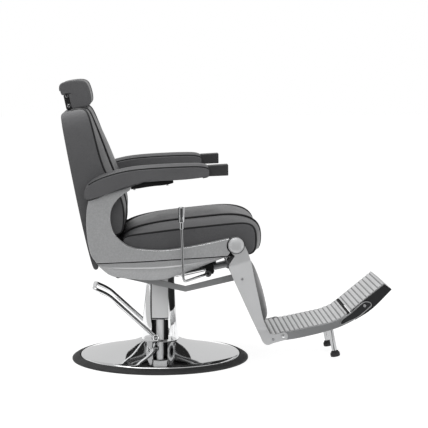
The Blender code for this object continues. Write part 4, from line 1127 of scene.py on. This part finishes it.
def make_arm_hardware(side, tag):
    middle = side * ARM_MIDDLE
    grip = cut_plate(f"grip_block_{tag}", (GRIP,), middle - 0.025, middle + 0.025)
    round_edges(grip, 0.0016)
    settle(grip, "seat", "moulded grip", "black_plastic", f"hand_grip_{tag}")
    bracket = cut_plate(f"arm_mount_{tag}", (ARM_BRACKET,), middle - 0.020, middle + 0.020)
    round_edges(bracket, 0.0022)
    settle(bracket, "seat", "shaded black", "black_plastic", f"arm_bracket_{tag}")
    for label, x, z in (("rear", -0.0864, 0.6039), ("front", 0.0195, 0.6181)):
        place = (x, side * (ARM_MIDDLE + 0.010), z)
        screw = socket_screw(f"arm_screw_{label}_{tag}", place, (0, 0, -1), 0.0042, 0.0042)
        settle(screw, "seat", "mirror chrome", "chrome")


def make_calf_pad():
    bar = LINK_FRONT[0] * math.cos(CALF_TILT) + LINK_FRONT[1] * math.sin(CALF_TILT)
    rear = bar + LINK_PIN_R + CALF_CLEAR + CALF_BOARD_T + CLEARANCE
    rings = []
    for level in (0, 0.015, 0.05, 0.15, 0.3, 0.5, 0.7, 0.85, 0.95, 0.985, 1):
        u = CALF_LOW + level * (CALF_HIGH - CALF_LOW)
        half = leg_inner(rear * math.sin(CALF_TILT) + u * math.cos(CALF_TILT)) - CALF_MARGIN
        swell = 0.55 + 0.45 * dome(2 * level - 1)
        ring = []
        for share in (-1, -0.985, -0.94, -0.8, -0.5, 0, 0.5, 0.8, 0.94, 0.985, 1):
            face = rear + CALF_PAD_T + CALF_CROWN * dome(share) * swell - 0.006 * abs(share) ** 8
            ring.append((face, share * half, u))
        ring += [(rear, share * half, u) for share in (1, 0.8, 0.4, 0, -0.4, -0.8, -1)]
        rings.append(ring)
    pad = cushion("calf_cover", rings)
    filled(pad, lambda spot: spot.x < rear + 0.012, 0.0030)
    tilt_by(pad, CALF_TILT)
    settle(pad, "legrest", "grey hide", "leather", "calf_pad")


# Base and column

def make_base():
    top = [Vector((r * MM, z * MM)) for r, z in DOME]
    outer = [Vector((0.0424, 0.066))] + flowing(top, 6)
    inner = [Vector((spot.x - 0.003, spot.y - 0.0027)) for spot in outer[1:-1]]
    profile = [(s.x, s.y) for s in outer] + [(0.2697, 0.0065)] + [(s.x, s.y) for s in inner[::-1]]
    profile += [(0.0424, 0.0630)]
    cover = turned("dome_cover", profile)
    settle(cover, "base", "mirror chrome", "chrome", "base_dome")
    ring = [(273.5, 16), (276, 17.2), (280, 17), (288, 13.9), (294, 10.6), (297.8, 7.9), (299.6, 6.0),
            (300, 4.2), (300, 2), (299.3, 0.6), (298, 0), (265.9, 0), (265.9, 6), (273.5, 6)]
    rubber = turned("base_tyre", [(r * MM, z * MM) for r, z in ring], degrees=40.0)
    settle(rubber, "base", "black rubber", "rubber", "base_ring")


def make_column():
    top, foot = 0.288, 0.0664
    wall = 0.003
    low_r, top_r = 0.0635, 0.0495
    brim = 0.0008
    steps = 12
    profile = [(low_r, foot), (low_r - 0.0001, foot + 0.0016)]
    for share in (i / steps for i in range(steps + 1)):
        radius = low_r - brim + (top_r - low_r + brim) * share
        profile.append((radius, foot + 0.004 + (top - foot - 0.006) * share))
    profile += [(top_r - 0.0006, top - 0.0006), (top_r - 0.0015, top), (top_r - wall, top),
                (low_r - wall, foot)]
    sleeve = turned("column_tube", profile)
    cut_box(sleeve, (-0.002, 0.0, 0.1065), (0.056, 0.2, 0.069), edge=0.003)
    smooth(sleeve)
    settle(sleeve, "base", "mirror chrome", "chrome", "column_sleeve")
    make_column_plate(lambda z: low_r + (top_r - low_r) * (z - foot) / (top - foot))
    post = turned("pump_post_right", [(0, 0.150), (0.0122, 0.150), (0.0130, 0.149), (0.0130, 0.067),
                                      (0, 0.067)], steps=64, closed=False)
    post.data.transform(Matrix.Translation((-0.002, -0.0435, 0.0)))
    settle_pair(post, "pump_post", "base", "satin plate", "steel")


def make_column_plate(radius):
    """The satin plate on either side of the column, above its window, and the black strip behind it."""
    across, levels = 16, 12
    for name, material, slot, left, right, low, high, lift in (
            ("column_plate", "satin plate", "bright_aluminium", -0.0295, 0.0255, 0.1465, 0.2850, 0.0016),
            # The black strip behind the plate stands in as painted shadow in the gap at the plate's edge
            ("column_shadow_strip", "moulded black", "black_plastic", -0.0335, 0.0265, 0.1425, 0.2858, 0.0007)):
        places = [left + (right - left) * i / across for i in range(across + 1)]
        rings = []
        for k in range(levels + 1):
            z = low + (high - low) * k / levels
            ring = [(x, -math.sqrt((radius(z) + lift) ** 2 - x * x), z) for x in places]
            ring += [(x, -math.sqrt((radius(z) - 0.0005) ** 2 - x * x), z) for x in places[::-1]]
            rings.append(ring)
        plate = skin(f"{name}_right", rings)
        round_edges(plate, 0.0003, 2)
        settle_pair(plate, name, "base", material, slot)


def make_pedal():
    x, z = PEDAL_PIVOT
    first = Vector((PEDAL_ROUTE[0][0] * MM, PEDAL_ROUTE[0][1] * MM))
    way = (first - Vector(PEDAL_PIVOT)).normalized()
    start = Vector(PEDAL_PIVOT) + way * 0.010
    right = [(start.x, -PEDAL_Y, start.y)]
    right += [(px * MM, -PEDAL_Y, pz * MM) for px, pz in PEDAL_ROUTE]
    route = eased(right + [(px, -py, pz) for px, py, pz in reversed(right)], 0.016, 10)
    loop = tube("pedal_loop", route, 0.007, 7)
    settle(loop, "pump_pedal", "mirror chrome", "chrome", "pump_pedal")
    eye = [(0.0063, -0.006), (0.0100, -0.006), (0.0110, -0.005), (0.0110, 0.005), (0.0100, 0.006),
           (0.0063, 0.006)]
    turned_pair("pedal_eye", eye, (x, -PEDAL_Y, z), OUTWARD, 64, True,
                "pump_pedal", "mirror chrome", "chrome")
    screw_pair("pedal_screw", (x, -0.0801, z), OUTWARD, 0.0078, 0.0036, "base", "bright steel", "steel")


# Side panels and covers

def is_chamfer(face):
    """Whether a face is between a plate's broad side and its edge."""
    return 0.35 < abs(face.normal.y) < 0.95


def is_highlit_ledge(face):
    """Whether a face looks out and up."""
    return abs(face.normal.y) > 0.2 and face.normal.z > 0.3


def make_side_panels():
    panel = cut_plate("c_panel_right", (SIDE_PANEL,), -PANEL_IN, -PANEL_OUT, bends=10)
    round_edges(panel, sizes().panel_edge, 1)
    round_edges(panel, 0.0007, 2, 25.0)
    for piece in settle_pair(panel, "c_panel", "seat", "blasted aluminium", "satin_aluminium", "side_panel"):
        # The chamfers get a bright chrome finish as a painted highlight
        refinish(piece, "painted edge highlight", is_chamfer)
    make_under_covers()
    upper = [(x, z + 0.7, CORNER) for x, z in COVER_TOP]
    lower = [(x, z - 3.2, CORNER) for x, z in COVER_TOP[::-1]]
    seal = cut_plate("seal_right", (upper + lower,), -PANEL_IN, -PANEL_OUT + 0.0085)
    settle_pair(seal, "seal", "seat", "black rubber", "rubber")
    # The black wedge stands in as painted shadow in the gap by the legrest panel
    plate_pair("shadow_wedge", (SHADOW_WEDGE,), -PANEL_IN - 0.003, -PANEL_OUT + 0.006, 0.0012,
               "seat", "black rubber", "rubber")
    make_hubs()


def make_hubs():
    """The low dome over each legrest pivot, and the ring round it."""
    place = (LEGREST[0], -LEG_OUT - 0.0003, LEGREST[1])
    crown = flowing([(0, 0.0138), (0.0080, 0.0133), (0.0160, 0.0112), (0.0220, 0.0074), (0.0255, 0.0030),
                     (0.0262, 0)], 5)
    cap = [(spot.x, spot.y) for spot in crown] + [(0.0204, 0), (0.0204, 0.0078), (0, 0.0082)]
    turned_pair("hub_cap", cap, place, OUTWARD, 96, True, "seat", "leg alloy", "bright_aluminium")
    # A dark ring round the cap as painted shadow
    ring = [(0.0264, 0), (0.0277, 0), (0.0277, 0.0012), (0.0264, 0.0012)]
    turned_pair("hub_shadow_ring", ring, place, OUTWARD, 96, True, "seat", "dark coat", "graphite")


def make_under_covers():
    outer = -(PANEL_OUT - 0.0020)
    inner = -PANEL_IN
    tuck = outer + 0.016
    tops = flowing([(x, z - 3.3) for x, z in COVER_TOP], 6)
    lows = flowing([(x, z) for x, z in COVER_LOW], 6)
    rings = []
    for high, low in zip(tops, lows):
        crease = high.lerp(low, 0.36)
        drop = high - crease
        fall = low - crease
        ring = [(high.x, inner, high.y), (high.x, outer + 0.0040, high.y),
                (high.x, outer + 0.0028, high.y - 0.6),
                (crease.x + drop.x * 0.20, outer + 0.0034, crease.y + drop.y * 0.20),
                (crease.x, outer, crease.y),
                (crease.x + fall.x * 0.06, outer + 0.0002, crease.y + fall.y * 0.06),
                (crease.x + fall.x * 0.30, outer + 0.0030, crease.y + fall.y * 0.30),
                (low.x - fall.x * 0.10, tuck - 0.0016, low.y - fall.y * 0.10), (low.x, tuck + 0.001, low.y),
                (low.x, inner, low.y)]
        rings.append([(px * MM, py, pz * MM) for px, py, pz in ring])
    cover = skin("lower_cover_right", rings)
    smooth(cover, 30.0)
    covers = settle_pair(cover, "lower_cover", "seat", "blasted aluminium", "satin_aluminium", "under_cover")
    for piece in covers:
        # Faces that look out and up get the lighter leg alloy as a painted highlight
        refinish(piece, "leg alloy", is_highlit_ledge)


# Recline gear

def lock_point(s):
    """A place along the lock rod, seen from the side."""
    return LOCK_END[0] + s * math.cos(LOCK_TILT), LOCK_END[1] + s * math.sin(LOCK_TILT)


def make_links():
    b, m, c = Vector(LINK_REAR), Vector(LINK_BEND), Vector(LINK_FRONT)
    half, eye_r, hole_r = 0.0092, 0.0125, 0.0073
    rise = Vector((-(m - b).y, (m - b).x)).normalized() * half
    fall = Vector((-(c - m).y, (c - m).x)).normalized() * half
    knee = (rise + fall).normalized() * half
    outline = []
    for centre, back in ((b, b - m), (c, c - m)):
        middle = math.atan2(back.y, back.x)
        for step in range(-120, 121, 10):
            turn = middle + math.radians(step)
            outline.append(centre + Vector((math.cos(turn), math.sin(turn))) * eye_r)
        outline.append(m - knee if centre is b else m + knee)
    outline = [(spot.x / MM, spot.y / MM, CORNER) for spot in outline]
    plate_pair("pull_bar", (outline, round_hole(b, hole_r), round_hole(c, hole_r)),
               -LINK_Y - LINK_T / 2, -LINK_Y + LINK_T / 2, sizes().thin_edge,
               "links", "plain steel", "bright_aluminium", "link")


def make_lock():
    rounded_copy("lock_block", "lock_housing", 0.0015, "seat", "shaded black", "black_plastic")
    rounded_copy("lock_rod", "lock_shaft", 0.0008, "lock_rod", "graphite coat", "graphite")
    ends = [(x, LOCK_Y, z) for x, z in (lock_point(-0.1856), lock_point(-0.0575))]
    tail = tube("lock_tail", ends, 0.00615, 8)
    settle(tail, "lock_rod", "mirror chrome", "chrome")


def make_lever():
    lever = copy_node("recline_lever", "release_lever")
    smooth(lever, 40.0)
    # The lever gets chrome darkened as painted shade
    settle(lever, "recline_lever", "dark chrome", "chrome", "recline_lever")
    low, neck, top = 0.478, 0.499, 0.549
    knob = [(0, top), (0.0060, top - 0.0001), (0.0085, top - 0.0008), (0.0099, top - 0.0022),
            (0.0105, top - 0.0042), (0.0105, neck + 0.003), (0.0100, neck + 0.0012), (0.0088, neck)]
    collar = [(0.0070, neck), (0.0070, low + 0.001), (0.0062, low), (0.0047, low), (0.0047, low + 0.0108),
              (0, low + 0.0108)]
    grip = turned("lever_grip", knob + collar, steps=64, closed=False)
    grip.data.transform(Matrix.Translation((0.0625, LEVER_Y, 0.0)))
    settle(grip, "recline_lever", "dark chrome", "chrome", "recline_handle")


# Legrest and footrest

def leg_inner(z):
    """Half the room between the legrest panels at a height."""
    span = CREASE_TOP - CREASE_LOW
    drop = min(max(CREASE_TOP - z, 0.0), span)
    return LEG_OUT - LEG_T - (LEG_OUT - LEG_FOOT_Y) / span * drop


def fold_depth(x, z):
    """How far in a legrest panel lies at a place."""
    high = CREASE_AT[1] + CREASE_SLANT * (x - CREASE_AT[0])
    span = high - CREASE_LOW
    drop = high - z
    depth = min(max(drop, 0.0), span)
    for near, sign in ((drop, 1), (span - drop, -1)):
        if abs(near) < FOLD_REACH:
            depth += sign * (FOLD_REACH - abs(near)) ** 2 / (4 * FOLD_REACH)
    return depth / span * (LEG_OUT - LEG_FOOT_Y)


def fold_in(panel):
    """Fold a flat right hand panel in between its slanting crease and its lower one, with rounded folds."""
    up = (0.0, 0.0, 1.0)
    beside = range(-3, 4)
    cuts = [((CREASE_AT[0], 0.0, CREASE_AT[1] + step * 0.0025), (-CREASE_SLANT, 0.0, 1.0)) for step in beside]
    cuts += [((0.0, 0.0, CREASE_LOW + step * 0.003), up) for step in beside]
    cuts += [((0.0, 0.0, CREASE_LOW + 0.02 * step), up) for step in range(1, 11)]
    for place, way in cuts:
        edit(panel, lambda: bpy.ops.mesh.bisect(plane_co=place, plane_no=way))
    for vert in panel.data.vertices:
        vert.co.y += fold_depth(vert.co.x, vert.co.z)


def make_legrest():
    holes = (round_hole(LEGREST, 0.0103), round_hole(FOOT_HINGE, 0.0063))
    panel = cut_plate("leg_side_right", (LEG_PANEL, *holes), -LEG_OUT, -LEG_OUT + LEG_T)
    round_edges(panel, sizes().alloy_edge)
    fold_in(panel)
    smooth(panel, 30.0)
    settle_pair(panel, "leg_side", "legrest", "leg alloy", "bright_aluminium", "legrest_panel")
    for name, x, z in (("link_screw", 0.262, 0.306), ("stop_screw", 0.372, 0.088)):
        y = fold_depth(x, z) - LEG_OUT
        lean = (fold_depth(x, z - 0.001) - fold_depth(x, z + 0.001)) / 0.002
        screw_pair(name, (x, y + 0.0002, z), (0, -1, -lean), 0.0044, 0.0030,
                   "legrest", "bright steel", "steel")


def inset(outline, by):
    """A closed outline drawn in by some millimetres."""
    spots = [Vector((x, z)) for x, z in flowing([spec[:2] for spec in outline], 6, closed=True)]
    area = sum(a.cross(b) for a, b in zip(spots, spots[1:] + spots[:1]))
    turn = by if area > 0 else -by
    made = []
    for i, spot in enumerate(spots):
        way = (spots[(i + 1) % len(spots)] - spots[i - 1]).normalized()
        spot = spot + Vector((-way.y, way.x)) * turn
        made.append((spot.x, spot.y, CORNER))
    return made


def tread_outline(points, ribs, nose=()):
    """Outline of a plate with soft grooves across it, and a lip at its far end."""
    spots = [Vector(point) for point in points]
    length = sum((b - a).length for a, b in zip(spots, spots[1:]))
    line = even(spots, length / (ribs * GROOVE_STEPS), False)
    top, under = [], []
    for i, spot in enumerate(line):
        way = (line[min(i + 1, len(line) - 1)] - line[max(i - 1, 0)]).normalized()
        down = Vector((way.y, -way.x))
        near = abs(i / GROOVE_STEPS - round(i / GROOVE_STEPS - 0.5) - 0.5)
        top.append(spot + down * GROOVE_DEPTH * math.exp(-(near / GROOVE_WIDTH) ** 2))
        if i % GROOVE_STEPS == 0:
            under.append(spot + down * TREAD_T)
    if nose:
        under[-1:] = [Vector(spot) for spot in reversed(nose)]
    return [(spot.x, spot.y, CORNER) for spot in top + under[::-1]]


def groove_shade_test(points):
    """A test for the faces at the bottoms of a tread's grooves."""
    line = even([Vector(point) for point in points], 1.0, False)

    def in_shaded_groove(face):
        spot = Vector((face.center.x, face.center.z)) / MM
        depth = min((spot - other).length for other in line)
        return 1.5 < depth < 3.5 and face.normal.z > 0.2

    return in_shaded_groove


def make_tread(name, points, ribs, nose, body, node):
    outline = tread_outline(points, ribs, nose)
    tread = cut_plate(name, (outline,), -RAIL_IN + CLEARANCE, RAIL_IN - CLEARANCE)
    smooth(tread, 50.0)
    settle(tread, body, "ribbed alloy", "bright_aluminium", node)
    # The groove bottoms get the darker finish as painted shade
    refinish(tread, "groove_shade", groove_shade_test(points))


def make_footrest():
    plate_pair("step_rail", (FOOT_RAIL,), -RAIL_IN, -RAIL_OUT, sizes().thin_edge,
               "footrest", "graphite coat", "graphite", "foot_rail")
    pin = [(0, 0.0062), (0.0030, 0.0061), (0.0048, 0.0054), (0.0056, 0.0044), (0.0058, 0.0030),
           (0.0058, -0.0110), (0, -0.0110)]
    turned_pair("hinge_pin", pin, (FOOT_HINGE[0], -LEG_FOOT_Y, FOOT_HINGE[1]), OUTWARD, 48, False,
                "footrest", "mirror chrome", "chrome")
    plate_pair("tip_bracket", (TIP_ARM,), -RAIL_OUT - 0.0005, -RAIL_OUT - 0.0042, 0.0012,
               "footrest", "cast alloy", "chrome", "tip_arm")
    plate_pair("tip_face", (inset(TIP_ARM, 2.8),), -RAIL_OUT - 0.0040, -RAIL_OUT - 0.0055, 0.0005,
               "footrest", "dark coat", "graphite", segments=2)
    screw_pair("tip_bolt", (TIP_HINGE[0], -RAIL_OUT - 0.0053, TIP_HINGE[1]), OUTWARD, 0.0050, 0.0026,
               "footrest", "cast alloy", "steel")
    make_tread("step_tread", FOOT_TREAD, 17, (), "footrest", "foot_plate")
    ends = [(0.6255, y, 0.1705) for y in (-RAIL_IN + 0.002, RAIL_IN - 0.002)]
    roll = tube("hinge_roll", ends, 0.0042, 8)
    settle(roll, "footrest", "shaded black", "black_steel")
    web = cut_plate("hinge_web", (TIP_WEB,), -RAIL_OUT + 0.0008, RAIL_OUT - 0.0008)
    round_edges(web, 0.0006, 2)
    settle(web, "footrest", "shaded black", "black_steel")
    make_step_legs()


def make_step_legs():
    """The footrest's chromed legs and their rubber feet."""
    top, low = Vector((0.5672, -0.095, 0.1343)), Vector((0.5860, -0.095, 0.0365))
    length = (low - top).length
    way = (low - top).normalized()
    leg = [(0, 0), (0.009, 0), (0.009, length - 0.001), (0.0082, length), (0, length)]
    # The legs get chrome darkened as painted shade
    turned_pair("step_leg", leg, top, way, 64, False, "footrest", "dark chrome", "chrome", "foot_leg")
    foot = [(0, 0), (0.0105, 0), (0.0120, 0.0010), (0.0126, 0.0036), (0.0148, 0.0060), (0.0160, 0.0080),
            (0.0163, 0.0100), (0.0163, 0.0165), (0.0156, 0.0188), (0.0142, 0.0195), (0, 0.0195)]
    turned_pair("step_foot", foot, low + way * CLEARANCE, way, 64, False,
                "footrest", "black rubber", "rubber", "foot_pad")


def make_tip():
    plate_pair("tip_side", (TIP_RAIL, round_hole(TIP_HINGE, 0.0053)), -RAIL_IN, -RAIL_OUT, sizes().thin_edge,
               "tip", "dark coat", "graphite", "tip_rail")
    make_tread("tip_tread", TIP_TREAD, 9, TIP_NOSE, "tip", "tip_plate")


# Frame nodes that stay

KEPT_FINISHES = {
    "black paint": ("base_plate", "swivel_hub", "frame_rail_right", "frame_rail_left", "seat_pan",
                    "back_crank_right", "back_crank_left", "calf_board", "pump_cylinder"),
    "dark coat": ("side_plate_right", "side_plate_left"),
    "bright steel": ("lock_bar", "link_bar"),
    "mirror chrome": ("piston_rod", "headrest_stem"),
}


def finish_frame():
    for material, nodes in KEPT_FINISHES.items():
        for name in nodes:
            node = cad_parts[name]
            if not node.material_slots:
                node.data.materials.append(None)
            for slot in node.material_slots:
                slot.material = finish(material)


# Stage

# Cards that only polished metal sees: place, the place they face, width, height and brightness
CARDS = {
    "flag_front": ((0.0, -2.6, 1.1), (0.0, 0.0, 1.1), 5.0, 2.2, 0.13),
    "flag_black": ((0.35, -2.5, 0.7), (0.0, 0.0, 0.7), 0.5, 1.4, 0.02),
    "flag_dome": ((0.1, -2.55, 1.80), (0.1, 0.0, 1.80), 1.5, 0.8, 0.03),
    "flag_low": ((0.0, -1.65, 0.002), (0.0, -1.65, 1.0), 2.6, 1.9, 0.16),
    "flag_foot": ((0.58, -0.45, 0.002), (0.58, -0.45, 1.0), 0.16, 0.5, 0.35),
    # A dark card under the seat that the base dome reflects, as painted shade of the seat's underside
    "flag_under_seat_shade": ((-0.005, 0.15, 0.385), (-0.005, 0.15, 0.0), 0.35, 0.82, 0.02),
    "flag_low_left": ((-2.5, -0.6, 0.002), (-2.5, -0.6, 1.0), 2.3, 4.0, 0.62),
    "flag_right": ((4.6, 0.0, 1.1), (0.0, 0.0, 1.1), 9.0, 2.2, 0.80),
    "flag_left": ((-4.6, 0.0, 1.1), (0.0, 0.0, 1.1), 9.0, 2.2, 0.60),
    "flag_back": ((0.0, 5.0, 1.85), (0.0, 0.0, 1.85), 9.2, 3.7, 0.66),
    "flag_ceiling": ((0.0, 0.0, 3.7), (0.0, 0.0, 0.0), 11.0, 11.0, 0.55),
}


def grey(value):
    return value, value, value, 1.0


def add_to_scene(name, data):
    made = bpy.data.objects.new(name, data)
    bpy.context.scene.collection.objects.link(made)
    return made


def bare_material(name):
    """A material with nothing in its tree yet."""
    made = bpy.data.materials.new(name)
    made.use_nodes = True
    made.node_tree.nodes.clear()
    return made, made.node_tree


def seen_mask(tree):
    """1 for the rays that see the backdrop: from the camera, off metal and through glass."""
    rays = add_node(tree, "LightPath", {}).outputs
    total = math_node(tree, "ADD", rays["Is Camera Ray"], rays["Is Glossy Ray"])
    total = math_node(tree, "ADD", total, rays["Is Transmission Ray"])
    return math_node(tree, "MINIMUM", total, 1.0)


def make_world():
    """A white backdrop that lights the chair less than it shows."""
    world = bpy.data.worlds.new("studio")
    bpy.context.scene.world = world
    world.use_nodes = True
    tree = world.node_tree
    back = tree.nodes["Background"]
    back.inputs["Color"].default_value = grey(1.0)
    strength = math_node(tree, "ADD", scaled(tree, seen_mask(tree), 0.56), 0.44)
    tree.links.new(strength, back.inputs["Strength"])


def make_floor():
    floor = add_piece("floor", bpy.data.meshes.new("floor"))
    edit(floor, lambda: bpy.ops.mesh.primitive_plane_add(size=40.0))
    made, tree = bare_material("pale floor")
    plain = add_node(tree, "BsdfDiffuse", {"Color": grey(0.62)})
    shade = add_node(tree, "BsdfDiffuse", {"Color": grey(0.34)})
    glow = add_node(tree, "Emission", {"Strength": 0.86})
    both = add_node(tree, "AddShader", {0: shade.outputs[0], 1: glow.outputs[0]})
    pick = add_node(tree, "MixShader", {0: seen_mask(tree), 1: plain.outputs[0], 2: both.outputs[0]})
    add_node(tree, "OutputMaterial", {"Surface": pick.outputs[0]})
    floor.data.materials.append(made)


def make_lamp(name, place, size, power):
    """An area lamp turned to the middle of the chair."""
    light = bpy.data.lights.new(name, "AREA")
    light.shape = "RECTANGLE"
    light.size, light.size_y = size
    light.energy = power
    lamp = add_to_scene(name, light)
    lamp.location = place
    way = Vector((0.0, 0.0, 0.5)) - Vector(place)
    lamp.rotation_euler = way.to_track_quat("-Z", "Y").to_euler()
    return lamp


def make_card(name, place, target, width, height, brightness):
    card = add_piece(name, bpy.data.meshes.new(name))
    edit(card, lambda: bpy.ops.mesh.primitive_plane_add(size=1.0))
    card.data.transform(Matrix.Diagonal((width, height, 1.0, 1.0)))
    point_along(card, place, Vector(target) - Vector(place))
    made, tree = bare_material(name)
    glow = add_node(tree, "Emission", {"Color": grey(brightness)})
    add_node(tree, "OutputMaterial", {"Surface": glow.outputs[0]})
    card.data.materials.append(made)
    for ray in ("camera", "diffuse", "transmission", "volume_scatter", "shadow"):
        setattr(card, f"visible_{ray}", False)


def make_camera():
    data = bpy.data.cameras.new("camera")
    data.sensor_width = 36.0
    data.lens = 130.29
    camera = add_to_scene("camera", data)
    camera.location = (-0.0967852, -5.22257114, 1.03889158)
    camera.rotation_euler = Vector((0.0533, 0.9931, -0.1040)).to_track_quat("-Z", "Y").to_euler()
    bpy.context.scene.camera = camera


def make_stage():
    bpy.context.scene.view_settings.view_transform = "Standard"
    make_camera()
    make_world()
    make_floor()
    make_lamp("top", (-0.8, -0.2, 3.2), (2.2, 2.2), 47.0)
    front = make_lamp("front", (0.0, -3.8, 2.1), (5.0, 3.0), 82.0)
    front.visible_glossy = False
    for name, values in CARDS.items():
        make_card(name, *values)


# Operators

def piece_operator(key, label, words, *steps):
    """An operator class that runs making steps in order."""

    def execute(self, context):
        for step in steps:
            step()
        return {"FINISHED"}

    name = "CHAIR_OT_" + key
    return type(name, (bpy.types.Operator,), {
        "__doc__": words, "bl_idname": "chair." + key, "bl_label": label, "execute": execute})


OPERATORS = (
    piece_operator("stage", "Stage", "Set up the camera, the light and the floor", make_stage),
    piece_operator("base", "Base", "Spin the dome and the rubber ring", make_base),
    piece_operator("column", "Column", "Spin the column and cut its windows", make_column),
    piece_operator("pedal", "Pump pedal", "Bend the pedal and set its eyes and screws", make_pedal),
    # The bumpers are black wedges of painted shadow in the gap by the legrest panels
    piece_operator("side_panels", "Side panels", "Cut the C panels, covers, bumpers and hub caps",
                   make_side_panels),
    piece_operator("links", "Links", "Cut the pull bars", make_links),
    piece_operator("lock", "Recline lock", "Round the lock and its shaft", make_lock),
    piece_operator("lever", "Release lever", "Make the lever and its grip", make_lever),
    piece_operator("legrest", "Legrest", "Cut and fold the legrest panels", make_legrest),
    piece_operator("footrest", "Footrest", "Make the footrest, its legs and brackets", make_footrest),
    piece_operator("tip", "Tip", "Make the folding tip", make_tip),
    piece_operator("seat", "Seat", "Upholster the seat", make_seat_cushion),
    piece_operator("back", "Back", "Upholster the back", make_back_cushion),
    piece_operator("headrest", "Headrest", "Upholster the headrest and fit its bracket", make_headrest,
                   make_headrest_bracket),
    piece_operator("arms", "Arms", "Upholster the arms and fit their grips and mounts", make_arms),
    piece_operator("calf", "Calf pad", "Upholster the calf pad", make_calf_pad),
    piece_operator("frame", "Frame", "Finish the pieces of the frame that stay", finish_frame),
)


class CHAIR_PT_parts(bpy.types.Panel):
    """Steps and settings of the chair"""

    bl_idname = "CHAIR_PT_parts"
    bl_label = "Barber chair"
    bl_space_type = "VIEW_3D"
    bl_region_type = "UI"
    bl_category = "Chair"

    def draw(self, context):
        for settings in (context.scene.chair_sizes, context.scene.chair_colours):
            box = self.layout.box()
            for key in settings.__annotations__:
                box.prop(settings, key)
        for operator in OPERATORS:
            self.layout.operator(operator.bl_idname)


CLASSES = (ChairSizes, ChairColours, *OPERATORS, CHAIR_PT_parts)


def register():
    for item in CLASSES:
        bpy.utils.register_class(item)
    bpy.types.Scene.chair_sizes = bpy.props.PointerProperty(type=ChairSizes)
    bpy.types.Scene.chair_colours = bpy.props.PointerProperty(type=ChairColours)


def unregister():
    del bpy.types.Scene.chair_colours
    del bpy.types.Scene.chair_sizes
    for item in reversed(CLASSES):
        bpy.utils.unregister_class(item)


def main():
    register()
    for operator in OPERATORS:
        family, key = operator.bl_idname.split(".")
        getattr(getattr(bpy.ops, family), key)()


if __name__ == "__main__":
    main()
